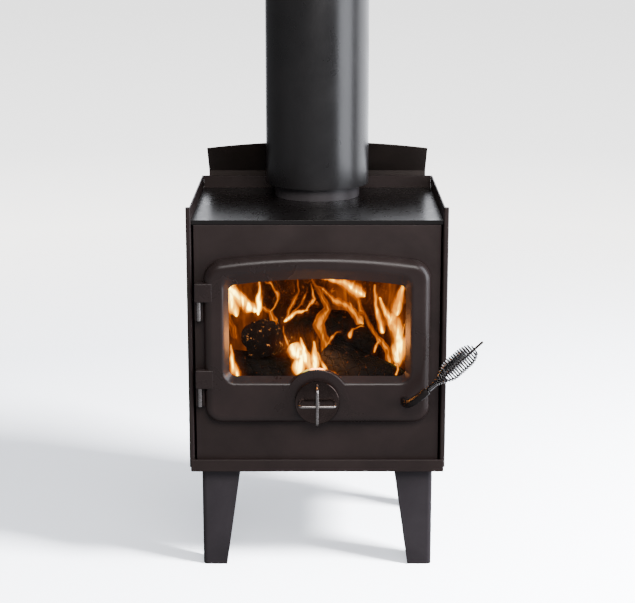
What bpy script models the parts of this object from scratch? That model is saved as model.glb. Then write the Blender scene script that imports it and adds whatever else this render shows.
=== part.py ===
"""Free-standing wood burning stove with a cast door, spin draught control and coil-grip latch.

Metres, +Z up, the front looks along -Y. The pieces are modelled with the stove's plane of
symmetry at X = 0, the front of its side beads at Y = 0 and the floor at Z = 0. The last
step moves the whole stove so that the origin is the bottom centre of its bounding box.
"""
import math

import bmesh
import bpy
from mathutils import Matrix, Vector

# ---------------------------------------------------------------- driving dimensions
GAP = 0.0003                  # clearance between pieces that touch
CUT_PAST = 0.001              # how far a cutter runs past the face it cuts

BODY_HALF_WIDTH = 0.2316      # outer face of a side panel from the centre
BODY_DEPTH = 0.3714           # front of the beads to the rear face of the back plate
BODY_HEIGHT = 0.4988          # underside of the base plate to the top of the sides
LEG_HEIGHT = 0.193

SIDE_SHEET = 0.003
BEAD_WIDTH = 0.0095           # rolled front edge of a side panel
BEAD_PROUD = 0.0064           # how far the bead stands outboard of the panel
BEAD_DEPTH = 0.010
BEAD_ROUND = 0.0028

BASE_THICKNESS = 0.0075
LIP_HEIGHT = 0.0235
LIP_THICKNESS = 0.0037
LIP_OVERHANG = 0.0039         # past the side panel's outer face
LIP_EDGE = 0.0012             # rounded edges of the lip

FRONT_RECESS = 0.006          # front plate behind the front of the beads
FRONT_SHEET = 0.005
FRONT_SIDE_GAP = 0.0038       # front plate's edge to the side panel
TOP_DROP = 0.0242             # cook plate's surface below the top of the sides
TOP_THICKNESS = 0.008
TOP_SETBACK = 0.0025          # cook plate's front edge behind the front plate's face

BACK_SHEET = 0.005
WALL_SHEET = 0.005
AIR_JACKET = 0.0186           # side panel to firebox wall
ASH_SPACE = 0.0595            # base plate to firebox floor
BRICK = 0.025
SMOKE_SPACE = 0.0727          # baffle plate to the underside of the cook plate
BRICK_FRONT = 0.030           # front of the side bricks behind the beads
BAFFLE_THICKNESS = 0.006
BAFFLE_MOUTH = 0.070          # gas passage between front plate and baffle
LOG_BAR_HEIGHT = 0.044
LOG_BAR_THICKNESS = 0.006
LOG_BAR_SETBACK = 0.004       # log bar behind the front of the side bricks
SOFT_EDGE = 0.001             # rounded edges of bricks, lugs and small forgings

DOOR_SIDE_MARGIN = 0.0178     # front plate's edge to the door's edge
DOOR_TOP_MARGIN = 0.0511      # front plate's top to the crown of the door
DOOR_BOTTOM_RISE = 0.097      # underside of the base plate to the door's bottom edge
DOOR_ARCH = 0.0163
DOOR_CORNER = 0.031
DOOR_THICKNESS = 0.020
DOOR_STANDOFF = 0.003         # front plate to the rear of the door casting
DOOR_RIM = 0.016
DOOR_OPENING_INSET = 0.027    # door's edge to the opening in the front plate
DOOR_OPENING_SILL = 0.0195    # door's bottom edge to the bottom of that opening
DOOR_OPENING_CORNER = 0.018

WINDOW_SIDE = 0.0455          # door's edge to the window's edge
WINDOW_TOP = 0.0466
WINDOW_BOTTOM = 0.089
WINDOW_ARCH = 0.0125
WINDOW_CORNER = 0.011
WINDOW_FLARE_SIDE = 0.011     # how much the window widens towards the front
WINDOW_FLARE_TOP = 0.022
WINDOW_FLARE_BOTTOM = 0.013
GLASS_OVERLAP = 0.009
GLASS_THICKNESS = 0.004
GASKET_THICKNESS = 0.0018
RETAINER_WIDTH = 0.018
RETAINER_THICKNESS = 0.002
RETAINER_END = 0.010          # retainer's ends inside the window's edges
GASKET_WIDTH = 0.0075

SEAL_WIDTH = 0.009
SEAL_INSET = 0.0115           # door's edge to the outer edge of the rope seal
SEAL_SILL = 0.0055            # door's bottom edge to the lower edge of the rope seal
SEAL_DEPTH = 0.005            # depth of its channel in the door

HINGE_OUT = 0.0087            # hinge axis outboard of the door's edge
HINGE_FORWARD = 0.016         # hinge axis in front of the front plate
PIN_RADIUS = 0.004
LUG_HEIGHT = 0.0355
LUG_HALF = 0.0076
LUG_CAP = 0.004               # lug metal above the pin's blind hole
BRACKET_HALF = 0.0082
BRACKET_EDGE = 0.0008
HINGE_UPPER_DROP = 0.0882     # crown of the door to the underside of the upper lug
HINGE_LOWER_RISE = 0.067      # door's bottom edge to the underside of the lower lug

KNOB_RISE = 0.0448            # door's bottom edge to the axis of the air control
KNOB_RADIUS = 0.041
KNOB_RIM = 0.004
KNOB_DOME = 0.003
KNOB_EDGE = 0.0015            # rounded edge of the disc
KNOB_OPEN_GAP = 0.002         # disc to its seat, as the stove stands
HUMP_RADIUS = 0.0595          # round metal kept in the window's foot, about the air control
SEAT_RADIUS = 0.036           # raised seat that the air disc closes on
BOSS_PROUD = 0.0065           # seat in front of the door's face
SEAT_ROUND = 0.0015
WELL_RADIUS = 0.0105
WELL_DEPTH = 0.005
SPINDLE_RADIUS = 0.005
SPINDLE_PROUD = 0.014         # spindle in front of the disc's centre
SPINDLE_TAIL = 0.001          # spindle behind the door casting
PORT_RADIUS = 0.0055
PORT_CIRCLE = 0.017
PORT_COUNT = 6
WASHER_THICKNESS = 0.0012
WIRE_RADIUS = 0.003
WIRE_REACH = 0.033            # axis to the leg of a wire loop
WIRE_STANDOFF = 0.0265        # disc's rim to the middle of the level wire's bar
WIRE_BEND = 0.006

LATCH_INSET = 0.0464          # door's edge to the latch spindle
LATCH_RADIUS = 0.007
ARM_SHOULDER = 0.0007         # how much wider the arm is than the spindle it hides
ARM_RADIUS = LATCH_RADIUS + ARM_SHOULDER
ARM_NECK = 0.004              # straight stub of the arm at the door
ARM_FORWARD = 0.053           # door's face to the grip's axis
ARM_LENGTH = 0.0517           # latch spindle to the arm's end, along the grip
GRIP_ANGLE = math.radians(42.9)
GRIP_LENGTH = 0.134
ROD_RADIUS = 0.0022
COIL_WIRE = 0.0012
COIL_BULGE = 0.0186           # largest radius of the coil's centre line
COIL_START = 0.002
COIL_SWELL = (0.016, 0.058)   # where the coil widens, from the arm's end
COIL_CLOSE = (0.088, 0.114)   # where it closes on the rod
COIL_TIGHT_PITCH = 0.0030
COIL_OPEN_PITCH = 0.0049
COIL_EASE = 0.012             # length over which the pitch opens
CAM_LENGTH = 0.0184
CAM_HALF_WIDTH = 0.008
CAM_THICKNESS = 0.005
CAM_CORNER = 0.002
NUT_RADIUS = 0.0095
NUT_THICKNESS = 0.0055
KEEPER_WIDTH = 0.018
KEEPER_HEIGHT = 0.024
KEEPER_DEPTH = 0.008
KEEPER_CLEAR = 0.0015

PIPE_RADIUS = 0.0755
PIPE_WALL = 0.0015
COLLAR_WALL = 0.0063
COLLAR_HEIGHT = 0.052
COLLAR_SEAT = 0.001           # depth of the collar's seat in the cook plate
CASING_SPACE = 0.0233         # flue pipe to casing
CASING_WALL = 0.0012
CASING_LENGTH = 0.500
CASING_RISE = 0.0009          # casing's lower edge above the sides
PIPE_SHOW = 0.018             # flue pipe above the casing
FLUE_BACK_CLEAR = 0.0015      # collar to the back plate
SPACER_WIDTH = 0.016
SPACER_HEIGHT = 0.030

SHIELD_SHEET = 0.002
SHIELD_GAP = 0.0326           # back plate to heat shield
SHIELD_SIDE = 0.0121          # shield's edge inboard of the side panels
SHIELD_BOTTOM = 0.057         # shield's lower edge above the base plate's underside
SHIELD_BEND_RISE = 0.005      # bend above the top of the sides
SHIELD_FLANGE = 0.103
SHIELD_LEAN = math.radians(48.5)
SHIELD_SAG = 0.023            # rise of the arched edge from corner to centre
SHIELD_FLUE_CLEAR = 0.006
STANDOFF_RADIUS = 0.006
STANDOFF_INSET = 0.050
STANDOFF_RISE = 0.050         # lower standoffs above the shield's lower edge
STANDOFF_DROP = 0.0768        # upper standoffs below the shield's bend

LEG_SHEET = 0.004
LEG_SIDE_INSET = 0.015        # leg's outer face inboard of the side panel's
LEG_FRONT_INSET = 0.020
LEG_REAR_INSET = 0.0124
LEG_TOP_WIDTH = 0.0728
LEG_FOOT_WIDTH = 0.0454
LEG_BEND = 0.009
TAB_SIZE = 0.052
BOLT_INSET = 0.030
BOLT_RADIUS = 0.004
BOLT_HEAD_RADIUS = 0.0075
BOLT_HEAD = 0.0055

ARC_STEPS = 6                 # straight pieces in a rounded corner
ROUND_STEPS = 48

# ---------------------------------------------------------------- derived positions
BASE_TOP = LEG_HEIGHT + BASE_THICKNESS
BODY_TOP = LEG_HEIGHT + BODY_HEIGHT
SIDE_INNER = BODY_HALF_WIDTH - SIDE_SHEET
COOK_TOP = BODY_TOP - TOP_DROP
COOK_BOTTOM = COOK_TOP - TOP_THICKNESS
FRONT_FACE = FRONT_RECESS
FRONT_REAR = FRONT_RECESS + FRONT_SHEET
FRONT_HALF = SIDE_INNER - FRONT_SIDE_GAP
FRONT_BOTTOM = BASE_TOP + GAP
FRONT_TOP = COOK_BOTTOM - GAP
BACK_FACE = BODY_DEPTH - BACK_SHEET
WALL_OUTER = SIDE_INNER - AIR_JACKET
WALL_INNER = WALL_OUTER - WALL_SHEET
FLOOR_BOTTOM = BASE_TOP + ASH_SPACE
FLOOR_TOP = FLOOR_BOTTOM + WALL_SHEET
HEARTH_TOP = FLOOR_TOP + GAP + BRICK
BRICK_TOP = COOK_BOTTOM - SMOKE_SPACE - BAFFLE_THICKNESS - GAP

DOOR_HALF = FRONT_HALF - DOOR_SIDE_MARGIN
DOOR_BOTTOM = LEG_HEIGHT + DOOR_BOTTOM_RISE
DOOR_TOP = FRONT_TOP - DOOR_TOP_MARGIN
DOOR_REAR = FRONT_FACE - DOOR_STANDOFF
DOOR_FACE = DOOR_REAR - DOOR_THICKNESS
GLASS_REAR = DOOR_REAR - GAP
GLASS_FRONT = GLASS_REAR - GLASS_THICKNESS
GASKET_FRONT = GLASS_FRONT - GAP - GASKET_THICKNESS
REBATE_FRONT = GASKET_FRONT - GAP

HINGE_X = -DOOR_HALF - HINGE_OUT
HINGE_Y = FRONT_FACE - HINGE_FORWARD
LUG_PLACES = (("upper", DOOR_TOP - HINGE_UPPER_DROP), ("lower", DOOR_BOTTOM + HINGE_LOWER_RISE))
AIR_Z = DOOR_BOTTOM + KNOB_RISE
BOSS_FACE = DOOR_FACE - BOSS_PROUD
DISC_REAR = BOSS_FACE - KNOB_OPEN_GAP
DISC_RIM = DISC_REAR - KNOB_RIM
LATCH_X = DOOR_HALF - LATCH_INSET
GRIP_Y = DOOR_FACE - ARM_FORWARD
CAM_FRONT = FRONT_REAR + 5 * GAP
CAM_REAR = CAM_FRONT + CAM_THICKNESS

PIPE_INNER = PIPE_RADIUS - PIPE_WALL
COLLAR_INNER = PIPE_RADIUS + 2 * GAP
COLLAR_RADIUS = COLLAR_INNER + COLLAR_WALL
CASING_INNER = PIPE_RADIUS + CASING_SPACE
CASING_RADIUS = CASING_INNER + CASING_WALL
FLUE_Y = BACK_FACE - FLUE_BACK_CLEAR - COLLAR_RADIUS
CASING_BOTTOM = BODY_TOP + CASING_RISE
CASING_TOP = CASING_BOTTOM + CASING_LENGTH

SHIELD_FACE = BODY_DEPTH + SHIELD_GAP
SHIELD_HALF = BODY_HALF_WIDTH - SHIELD_SIDE
SHIELD_BEND = BODY_TOP + SHIELD_BEND_RISE

STOVE_AT = Vector((0.0, 0.0, 0.0))
DOOR_AT = Vector((HINGE_X, HINGE_Y, DOOR_BOTTOM))
LATCH_AT = Vector((LATCH_X, DOOR_FACE, AIR_Z))
AIR_AT = Vector((0.0, DISC_REAR, AIR_Z))

FACING = Matrix.Rotation(math.pi / 2, 4, "X")            # a drawing in XY stands up in XZ
ALONG_X = Matrix(((0, 0, 1, 0), (1, 0, 0, 0), (0, 1, 0, 0), (0, 0, 0, 1)))  # XY drawing into YZ
FLAT = Matrix.Identity(4)

# name: (colour, roughness, metallic)
FINISHES = {
    "stove_paint": ((0.040, 0.032, 0.030), 0.55, 0.0),
    "cast_iron_paint": ((0.045, 0.034, 0.031), 0.50, 0.0),
    "cook_plate_paint": ((0.020, 0.019, 0.019), 0.35, 0.0),
    "shield_paint": ((0.010, 0.010, 0.010), 0.60, 0.0),
    "flue_paint": ((0.030, 0.030, 0.034), 0.38, 0.2),
    "bright_wire": ((0.560, 0.550, 0.540), 0.25, 1.0),
    "dark_steel": ((0.070, 0.064, 0.060), 0.42, 0.8),
    "plain_steel": ((0.300, 0.290, 0.280), 0.40, 1.0),
    "firebrick": ((0.420, 0.340, 0.240), 0.90, 0.0),
    "ceramic_rope": ((0.120, 0.115, 0.110), 0.95, 0.0),
    "ceramic_glass": ((0.060, 0.040, 0.030), 0.06, 0.0),
}


# ---------------------------------------------------------------- scene and helpers
def clear_scene():
    for item in list(bpy.data.objects):
        bpy.data.objects.remove(item, do_unlink=True)


def new_collection(name):
    collection = bpy.data.collections.new(name)
    bpy.context.scene.collection.children.link(collection)
    return collection


def make_finishes():
    made = {}
    for name, (colour, roughness, metallic) in FINISHES.items():
        material = bpy.data.materials.new(name)
        material.use_nodes = True
        shader = material.node_tree.nodes["Principled BSDF"]
        shader.inputs["Base Color"].default_value = (*colour, 1.0)
        shader.inputs["Roughness"].default_value = roughness
        shader.inputs["Metallic"].default_value = metallic
        made[name] = material
    return made


def new_pivot(name, position, parent=None):
    """An empty on a joint's axis, which the moving pieces are parented to."""
    pivot = bpy.data.objects.new(name, None)
    PARTS.objects.link(pivot)
    pivot.empty_display_size = 0.03
    pivot.parent = parent
    origin = PIVOT_ORIGINS[parent.name] if parent else Vector()
    pivot.location = position - origin
    PIVOT_ORIGINS[name] = position.copy()
    return pivot


def place(item, position, pivot):
    item.parent = pivot
    item.location = Vector(position) - PIVOT_ORIGINS[pivot.name]
    return item


def as_part(item, finish, position, pivot, smooth=False):
    """Put a finished piece in the stove's collection, with its finish and its place."""
    PARTS.objects.link(item)
    item.data.materials.clear()
    item.data.materials.append(FINISH[finish])
    if smooth:
        item.data.shade_smooth()
        item.data.set_sharp_from_angle(angle=math.radians(35))
    return place(item, position, pivot)


def join_or_cut(target, tool, operation, position, solver="EXACT"):
    """Join a shape to a piece, or cut it away, with a Boolean that stays live.

    The manifold solver takes the drillings in the door casting, where the exact one
    drops a face of the seal channel.
    """
    TOOLS.objects.link(tool)
    tool.hide_render = True
    tool.display_type = "WIRE"
    place(tool, position, target.parent)
    boolean = target.modifiers.new(tool.name, "BOOLEAN")
    boolean.operation = operation
    boolean.solver = solver
    boolean.object = tool


def mesh_object(name, build):
    mesh = bpy.data.meshes.new(name)
    working = bmesh.new()
    build(working)
    working.to_mesh(mesh)
    working.free()
    return bpy.data.objects.new(name, mesh)


def block(name, size, round_edges=0.0):
    """A box of the given size about its own centre."""
    def build(working):
        bmesh.ops.create_cube(working, size=1.0)
        bmesh.ops.scale(working, vec=size, verts=working.verts)
        if round_edges:
            bmesh.ops.bevel(working, geom=working.edges[:], offset=round_edges, segments=2,
                            affect="EDGES", profile=0.5, material=-1)
    return mesh_object(name, build)


def block_between(name, low, high, finish, pivot, round_edges=0.0):
    low = Vector(low)
    high = Vector(high)
    return as_part(block(name, high - low, round_edges), finish, (low + high) / 2, pivot)


def bar(name, radius, length, sides=ROUND_STEPS, turn=FLAT):
    """A round (or hexagonal) bar about its own centre, along Z unless turned."""
    def build(working):
        bmesh.ops.create_cone(working, cap_ends=True, segments=sides, radius1=radius,
                              radius2=radius, depth=length)
        bmesh.ops.transform(working, matrix=turn, verts=working.verts)
    return mesh_object(name, build)


def outline_curve(name, loops, thickness):
    curve = bpy.data.curves.new(name, "CURVE")
    curve.dimensions = "2D"
    curve.fill_mode = "BOTH"
    curve.extrude = thickness / 2
    for loop in loops:
        spline = curve.splines.new("POLY")
        spline.points.add(len(loop) - 1)
        spline.use_cyclic_u = True
        for point, (x, y) in zip(spline.points, loop):
            point.co = (x, y, 0.0, 1.0)
    return bpy.data.objects.new(name, curve)


def tube_curve(name, points, radius, side_detail):
    curve = bpy.data.curves.new(name, "CURVE")
    curve.dimensions = "3D"
    curve.bevel_depth = radius
    curve.bevel_resolution = side_detail
    curve.use_fill_caps = True
    spline = curve.splines.new("POLY")
    spline.points.add(len(points) - 1)
    for point, position in zip(spline.points, points):
        point.co = (*position, 1.0)
    return bpy.data.objects.new(name, curve)


def curve_to_mesh(guide, turn=FLAT):
    """Make a curve a closed mesh with its caps welded, so that it can be cut or joined."""
    name = guide.name
    bpy.context.scene.collection.objects.link(guide)
    bpy.context.view_layer.update()
    evaluated = guide.evaluated_get(bpy.context.evaluated_depsgraph_get())
    mesh = bpy.data.meshes.new_from_object(evaluated)
    curve = guide.data
    bpy.data.objects.remove(guide, do_unlink=True)
    bpy.data.curves.remove(curve)
    working = bmesh.new()
    working.from_mesh(mesh)
    bmesh.ops.remove_doubles(working, verts=working.verts, dist=0.00001)
    bmesh.ops.dissolve_limit(working, angle_limit=math.radians(0.2), verts=working.verts,
                             edges=working.edges)
    bmesh.ops.transform(working, matrix=turn, verts=working.verts)
    bmesh.ops.recalc_face_normals(working, faces=working.faces)
    working.to_mesh(mesh)
    working.free()
    mesh.name = name
    return bpy.data.objects.new(name, mesh)


def sheet(name, loops, thickness, turn=FLAT):
    """A flat piece cut to an outline, with any further loops as its openings."""
    return curve_to_mesh(outline_curve(name, loops, thickness), turn)


def turned(name, profile, closed=False, turn=FLAT, steps=ROUND_STEPS):
    """A turned piece from its half profile (radius, height), by a Screw modifier."""
    mesh = bpy.data.meshes.new(name)
    points = [(radius, 0.0, height) for radius, height in profile]
    edges = [(index, index + 1) for index in range(len(points) - 1)]
    if closed:
        edges.append((len(points) - 1, 0))
    mesh.from_pydata(points, edges, [])
    item = bpy.data.objects.new(name, mesh)
    screw = item.modifiers.new("turn", "SCREW")
    screw.steps = steps
    screw.render_steps = steps
    screw.use_merge_vertices = True
    screw.merge_threshold = 0.00005
    item.matrix_basis = turn
    return item


def ring_profile(inner, outer, bottom, top):
    return [(outer, top), (outer, bottom), (inner, bottom), (inner, top)]


def turned_part(name, profile, finish, position, pivot, closed=False, turn=FLAT, steps=ROUND_STEPS):
    item = turned(name, profile, closed, turn, steps)
    PARTS.objects.link(item)
    item.data.materials.append(FINISH[finish])
    place(item, position, pivot)
    item.rotation_euler = turn.to_euler()
    return item


def rounded(corners, steps=ARC_STEPS):
    """Points of a closed outline whose corners (x, y, radius) are rounded off."""
    points = []
    for index, (x, y, radius) in enumerate(corners):
        here = Vector((x, y))
        if radius == 0.0:
            points.append((x, y))
            continue
        before = (Vector(corners[index - 1][:2]) - here).normalized()
        after = (Vector(corners[(index + 1) % len(corners)][:2]) - here).normalized()
        half_angle = before.angle(after) / 2
        centre = here + (before + after).normalized() * radius / math.sin(half_angle)
        arm = here + before * radius / math.tan(half_angle) - centre
        turn = math.copysign(math.pi - 2 * half_angle, after.cross(before))
        for step in range(steps + 1):
            angle = turn * step / steps
            spoke = Matrix.Rotation(angle, 2) @ arm
            points.append(tuple(centre + spoke))
    return points


def arched(half_width, bottom, crown, arch, corner, arch_steps=10):
    """A door-shaped outline: straight bottom and sides, bowed top, rounded corners."""
    bow = (half_width ** 2 + arch ** 2) / (2 * arch)
    flat_half = half_width - 1.5 * corner
    corners = [(-half_width, bottom, corner), (half_width, bottom, corner),
               (half_width, crown - arch, corner)]
    for step in range(arch_steps + 1):
        x = flat_half * (1 - 2 * step / arch_steps)
        corners.append((x, crown - bow + math.sqrt(bow ** 2 - x ** 2), 0.0))
    corners.append((-half_width, crown - arch, corner))
    return rounded(corners)


def inset_arched(side, bottom, top, corner, arch):
    """The door's outline moved in by the given margins."""
    return arched(DOOR_HALF - side, DOOR_BOTTOM + bottom, DOOR_TOP - top, arch, corner)


# ---------------------------------------------------------------- body
def side_outline(side):
    """Plan of a side panel with its rolled front edge, at the side of sign +1 or -1."""
    outer = BODY_HALF_WIDTH + BEAD_PROUD
    inner = outer - BEAD_WIDTH
    corners = [
        (inner, 0.0, BEAD_ROUND), (outer, 0.0, BEAD_ROUND), (outer, BEAD_DEPTH, BEAD_ROUND),
        (BODY_HALF_WIDTH, BEAD_DEPTH, 0.0), (BODY_HALF_WIDTH, BODY_DEPTH, 0.0),
        (SIDE_INNER, BODY_DEPTH, 0.0), (SIDE_INNER, BEAD_DEPTH, 0.0),
    ]
    return rounded([(side * x, y, radius) for x, y, radius in corners], 4)


def build_body(stove):
    base = sheet("base_plate", [[(-BODY_HALF_WIDTH, 0.0), (BODY_HALF_WIDTH, 0.0),
                                 (BODY_HALF_WIDTH, BODY_DEPTH), (-BODY_HALF_WIDTH, BODY_DEPTH)]],
                 BASE_THICKNESS)
    as_part(base, "stove_paint", (0, 0, LEG_HEIGHT + BASE_THICKNESS / 2), stove)
    for corner, x, y in leg_bolts():
        hole = bar("base_bolt_hole_" + corner, BOLT_RADIUS + GAP, BASE_THICKNESS * 2, 16)
        join_or_cut(base, hole, "DIFFERENCE", (x, y, LEG_HEIGHT + BASE_THICKNESS / 2))

    lip_half = BODY_HALF_WIDTH + LIP_OVERHANG
    block_between("front_lip", (-lip_half, -GAP - LIP_THICKNESS, LEG_HEIGHT),
                  (lip_half, -GAP, LEG_HEIGHT + LIP_HEIGHT), "stove_paint", stove, LIP_EDGE)

    side_height = BODY_TOP - BASE_TOP - GAP
    for name, side in (("left", -1), ("right", 1)):
        panel = sheet("side_panel_" + name, [side_outline(side)], side_height)
        as_part(panel, "stove_paint", (0, 0, BODY_TOP - side_height / 2), stove)
        wall_x = sorted((side * WALL_INNER, side * WALL_OUTER))
        block_between("firebox_wall_" + name, (wall_x[0], FRONT_REAR + GAP, FLOOR_BOTTOM),
                      (wall_x[1], BACK_FACE - GAP, COOK_BOTTOM - GAP), "dark_steel", stove)

    block_between("back_plate", (GAP - SIDE_INNER, BACK_FACE, BASE_TOP + GAP),
                  (SIDE_INNER - GAP, BODY_DEPTH, BODY_TOP), "stove_paint", stove)
    block_between("firebox_floor", (GAP - WALL_INNER, FRONT_REAR + GAP, FLOOR_BOTTOM),
                  (WALL_INNER - GAP, BACK_FACE - GAP, FLOOR_TOP), "dark_steel", stove)

    frame = [(-FRONT_HALF, FRONT_BOTTOM), (FRONT_HALF, FRONT_BOTTOM),
             (FRONT_HALF, FRONT_TOP), (-FRONT_HALF, FRONT_TOP)]
    opening = inset_arched(DOOR_OPENING_INSET, DOOR_OPENING_SILL, DOOR_OPENING_INSET,
                           DOOR_OPENING_CORNER, DOOR_ARCH)
    front = sheet("front_plate", [frame, opening], FRONT_SHEET, FACING)
    as_part(front, "stove_paint", (0, FRONT_FACE + FRONT_SHEET / 2, 0), stove)

    cook_half = SIDE_INNER - GAP
    cook = [(-cook_half, FRONT_FACE + TOP_SETBACK), (cook_half, FRONT_FACE + TOP_SETBACK),
            (cook_half, BACK_FACE - GAP), (-cook_half, BACK_FACE - GAP)]
    flue_hole = [(PIPE_RADIUS * math.cos(angle), FLUE_Y + PIPE_RADIUS * math.sin(angle))
                 for angle in (2 * math.pi * step / ROUND_STEPS for step in range(ROUND_STEPS))]
    top = sheet("cook_plate", [cook, flue_hole], TOP_THICKNESS)
    as_part(top, "cook_plate_paint", (0, 0, COOK_BOTTOM + TOP_THICKNESS / 2), stove)
    seat = bar("collar_seat_cut", COLLAR_RADIUS + GAP, 2 * COLLAR_SEAT)
    join_or_cut(top, seat, "DIFFERENCE", (0, FLUE_Y, COOK_TOP))


# ---------------------------------------------------------------- firebox lining
def build_lining(stove):
    inner = WALL_INNER - GAP
    back_of_bricks = BACK_FACE - 2 * GAP
    front_of_back_brick = back_of_bricks - BRICK
    brick_low = HEARTH_TOP + GAP
    block_between("hearth_brick", (-inner, FRONT_REAR + 2 * GAP, FLOOR_TOP + GAP),
                  (inner, back_of_bricks, HEARTH_TOP), "firebrick", stove, SOFT_EDGE)
    block_between("back_brick", (-inner, front_of_back_brick, brick_low),
                  (inner, back_of_bricks, BRICK_TOP), "firebrick", stove, SOFT_EDGE)
    for name, side in (("left", -1), ("right", 1)):
        xs = sorted((side * inner, side * (inner - BRICK)))
        block_between("side_brick_" + name, (xs[0], BRICK_FRONT, brick_low),
                      (xs[1], front_of_back_brick - GAP, BRICK_TOP), "firebrick", stove, SOFT_EDGE)
    block_between("baffle_plate", (-inner, FRONT_REAR + BAFFLE_MOUTH, BRICK_TOP + GAP),
                  (inner, back_of_bricks, BRICK_TOP + GAP + BAFFLE_THICKNESS),
                  "dark_steel", stove)
    bar_half = inner - BRICK - GAP
    bar_front = BRICK_FRONT + LOG_BAR_SETBACK
    block_between("log_bar", (-bar_half, bar_front, brick_low),
                  (bar_half, bar_front + LOG_BAR_THICKNESS, brick_low + LOG_BAR_HEIGHT),
                  "dark_steel", stove, SOFT_EDGE)


# ---------------------------------------------------------------- legs
def leg_corners():
    """Name, side sign, end sign and the plan position of each leg's outer corner."""
    outer = BODY_HALF_WIDTH - LEG_SIDE_INSET
    ends = (("front", -1, LEG_FRONT_INSET), ("rear", 1, BODY_DEPTH - LEG_REAR_INSET))
    return [(end + "_" + name, side, way, side * outer, y)
            for end, way, y in ends for name, side in (("left", -1), ("right", 1))]


def leg_bolts():
    return [(corner, x - side * BOLT_INSET, y - way * BOLT_INSET)
            for corner, side, way, x, y in leg_corners()]


def leg_mesh(name, side, way):
    """An angle-section leg with its corner at the origin, whose flanges narrow downwards."""
    plan = rounded([(0, 0, LEG_BEND), (LEG_TOP_WIDTH, 0, 0), (LEG_TOP_WIDTH, LEG_SHEET, 0),
                    (LEG_SHEET, LEG_SHEET, LEG_BEND - LEG_SHEET),
                    (LEG_SHEET, LEG_TOP_WIDTH, 0), (0, LEG_TOP_WIDTH, 0)], 4)
    height = LEG_HEIGHT - GAP
    leg = sheet(name, [plan], height)
    narrowing = LEG_TOP_WIDTH - LEG_FOOT_WIDTH
    for vertex in leg.data.vertices:
        if vertex.co.z < 0:
            if vertex.co.x > LEG_TOP_WIDTH / 2:
                vertex.co.x -= narrowing
            if vertex.co.y > LEG_TOP_WIDTH / 2:
                vertex.co.y -= narrowing
    leg.data.transform(Matrix.Diagonal((-side, -way, 1, 1)))
    if side * way < 0:
        leg.data.flip_normals()
    return leg


def build_legs(stove):
    bolts = {corner: (x, y) for corner, x, y in leg_bolts()}
    tab_middle = LEG_HEIGHT - GAP - LEG_SHEET / 2
    head_top = LEG_HEIGHT - GAP - LEG_SHEET - GAP
    bolt_top = BASE_TOP - GAP
    for corner, side, way, x, y in leg_corners():
        leg = leg_mesh("leg_" + corner, side, way)
        as_part(leg, "stove_paint", (x, y, (LEG_HEIGHT - GAP) / 2), stove)
        tab_x = x - side * (LEG_SHEET / 2 + TAB_SIZE / 2)
        tab_y = y - way * (LEG_SHEET / 2 + TAB_SIZE / 2)
        tab = block("leg_tab_" + corner, (TAB_SIZE, TAB_SIZE, LEG_SHEET))
        join_or_cut(leg, tab, "UNION", (tab_x, tab_y, tab_middle))
        bolt_x, bolt_y = bolts[corner]
        hole = bar("leg_bolt_hole_" + corner, BOLT_RADIUS + GAP, LEG_SHEET * 3, 16)
        join_or_cut(leg, hole, "DIFFERENCE", (bolt_x, bolt_y, tab_middle))

        shank_bottom = head_top - BOLT_HEAD / 2
        shank = bar("leg_bolt_" + corner, BOLT_RADIUS, bolt_top - shank_bottom, 16)
        as_part(shank, "plain_steel", (bolt_x, bolt_y, (bolt_top + shank_bottom) / 2), stove)
        head = bar("leg_bolt_head_" + corner, BOLT_HEAD_RADIUS, BOLT_HEAD, 6)
        join_or_cut(shank, head, "UNION", (bolt_x, bolt_y, head_top - BOLT_HEAD / 2))


# ---------------------------------------------------------------- flue
def build_flue(stove):
    collar_bottom = COOK_TOP - COLLAR_SEAT + GAP
    collar_height = COLLAR_HEIGHT + COLLAR_SEAT
    turned_part("flue_collar", ring_profile(COLLAR_INNER, COLLAR_RADIUS, 0.0, collar_height),
                "flue_paint", (0, FLUE_Y, collar_bottom), stove, closed=True)
    pipe_height = CASING_TOP + PIPE_SHOW - collar_bottom
    turned_part("flue_pipe", ring_profile(PIPE_INNER, PIPE_RADIUS, 0.0, pipe_height),
                "flue_paint", (0, FLUE_Y, collar_bottom), stove, closed=True)
    turned_part("flue_casing", ring_profile(CASING_INNER, CASING_RADIUS, 0.0, CASING_LENGTH),
                "flue_paint", (0, FLUE_Y, CASING_BOTTOM), stove, closed=True, steps=64)
    spacer_length = CASING_SPACE - 8 * GAP
    middle = PIPE_RADIUS + CASING_SPACE / 2
    for index, bearing in enumerate((90, 210, 330), start=1):
        angle = math.radians(bearing)
        spacer = block("casing_spacer_" + str(index), (spacer_length, SPACER_WIDTH, SPACER_HEIGHT))
        spacer.data.transform(Matrix.Rotation(angle, 4, "Z"))
        as_part(spacer, "plain_steel", (middle * math.cos(angle), FLUE_Y + middle * math.sin(angle),
                                        CASING_TOP - 2 * SPACER_HEIGHT), stove)


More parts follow.
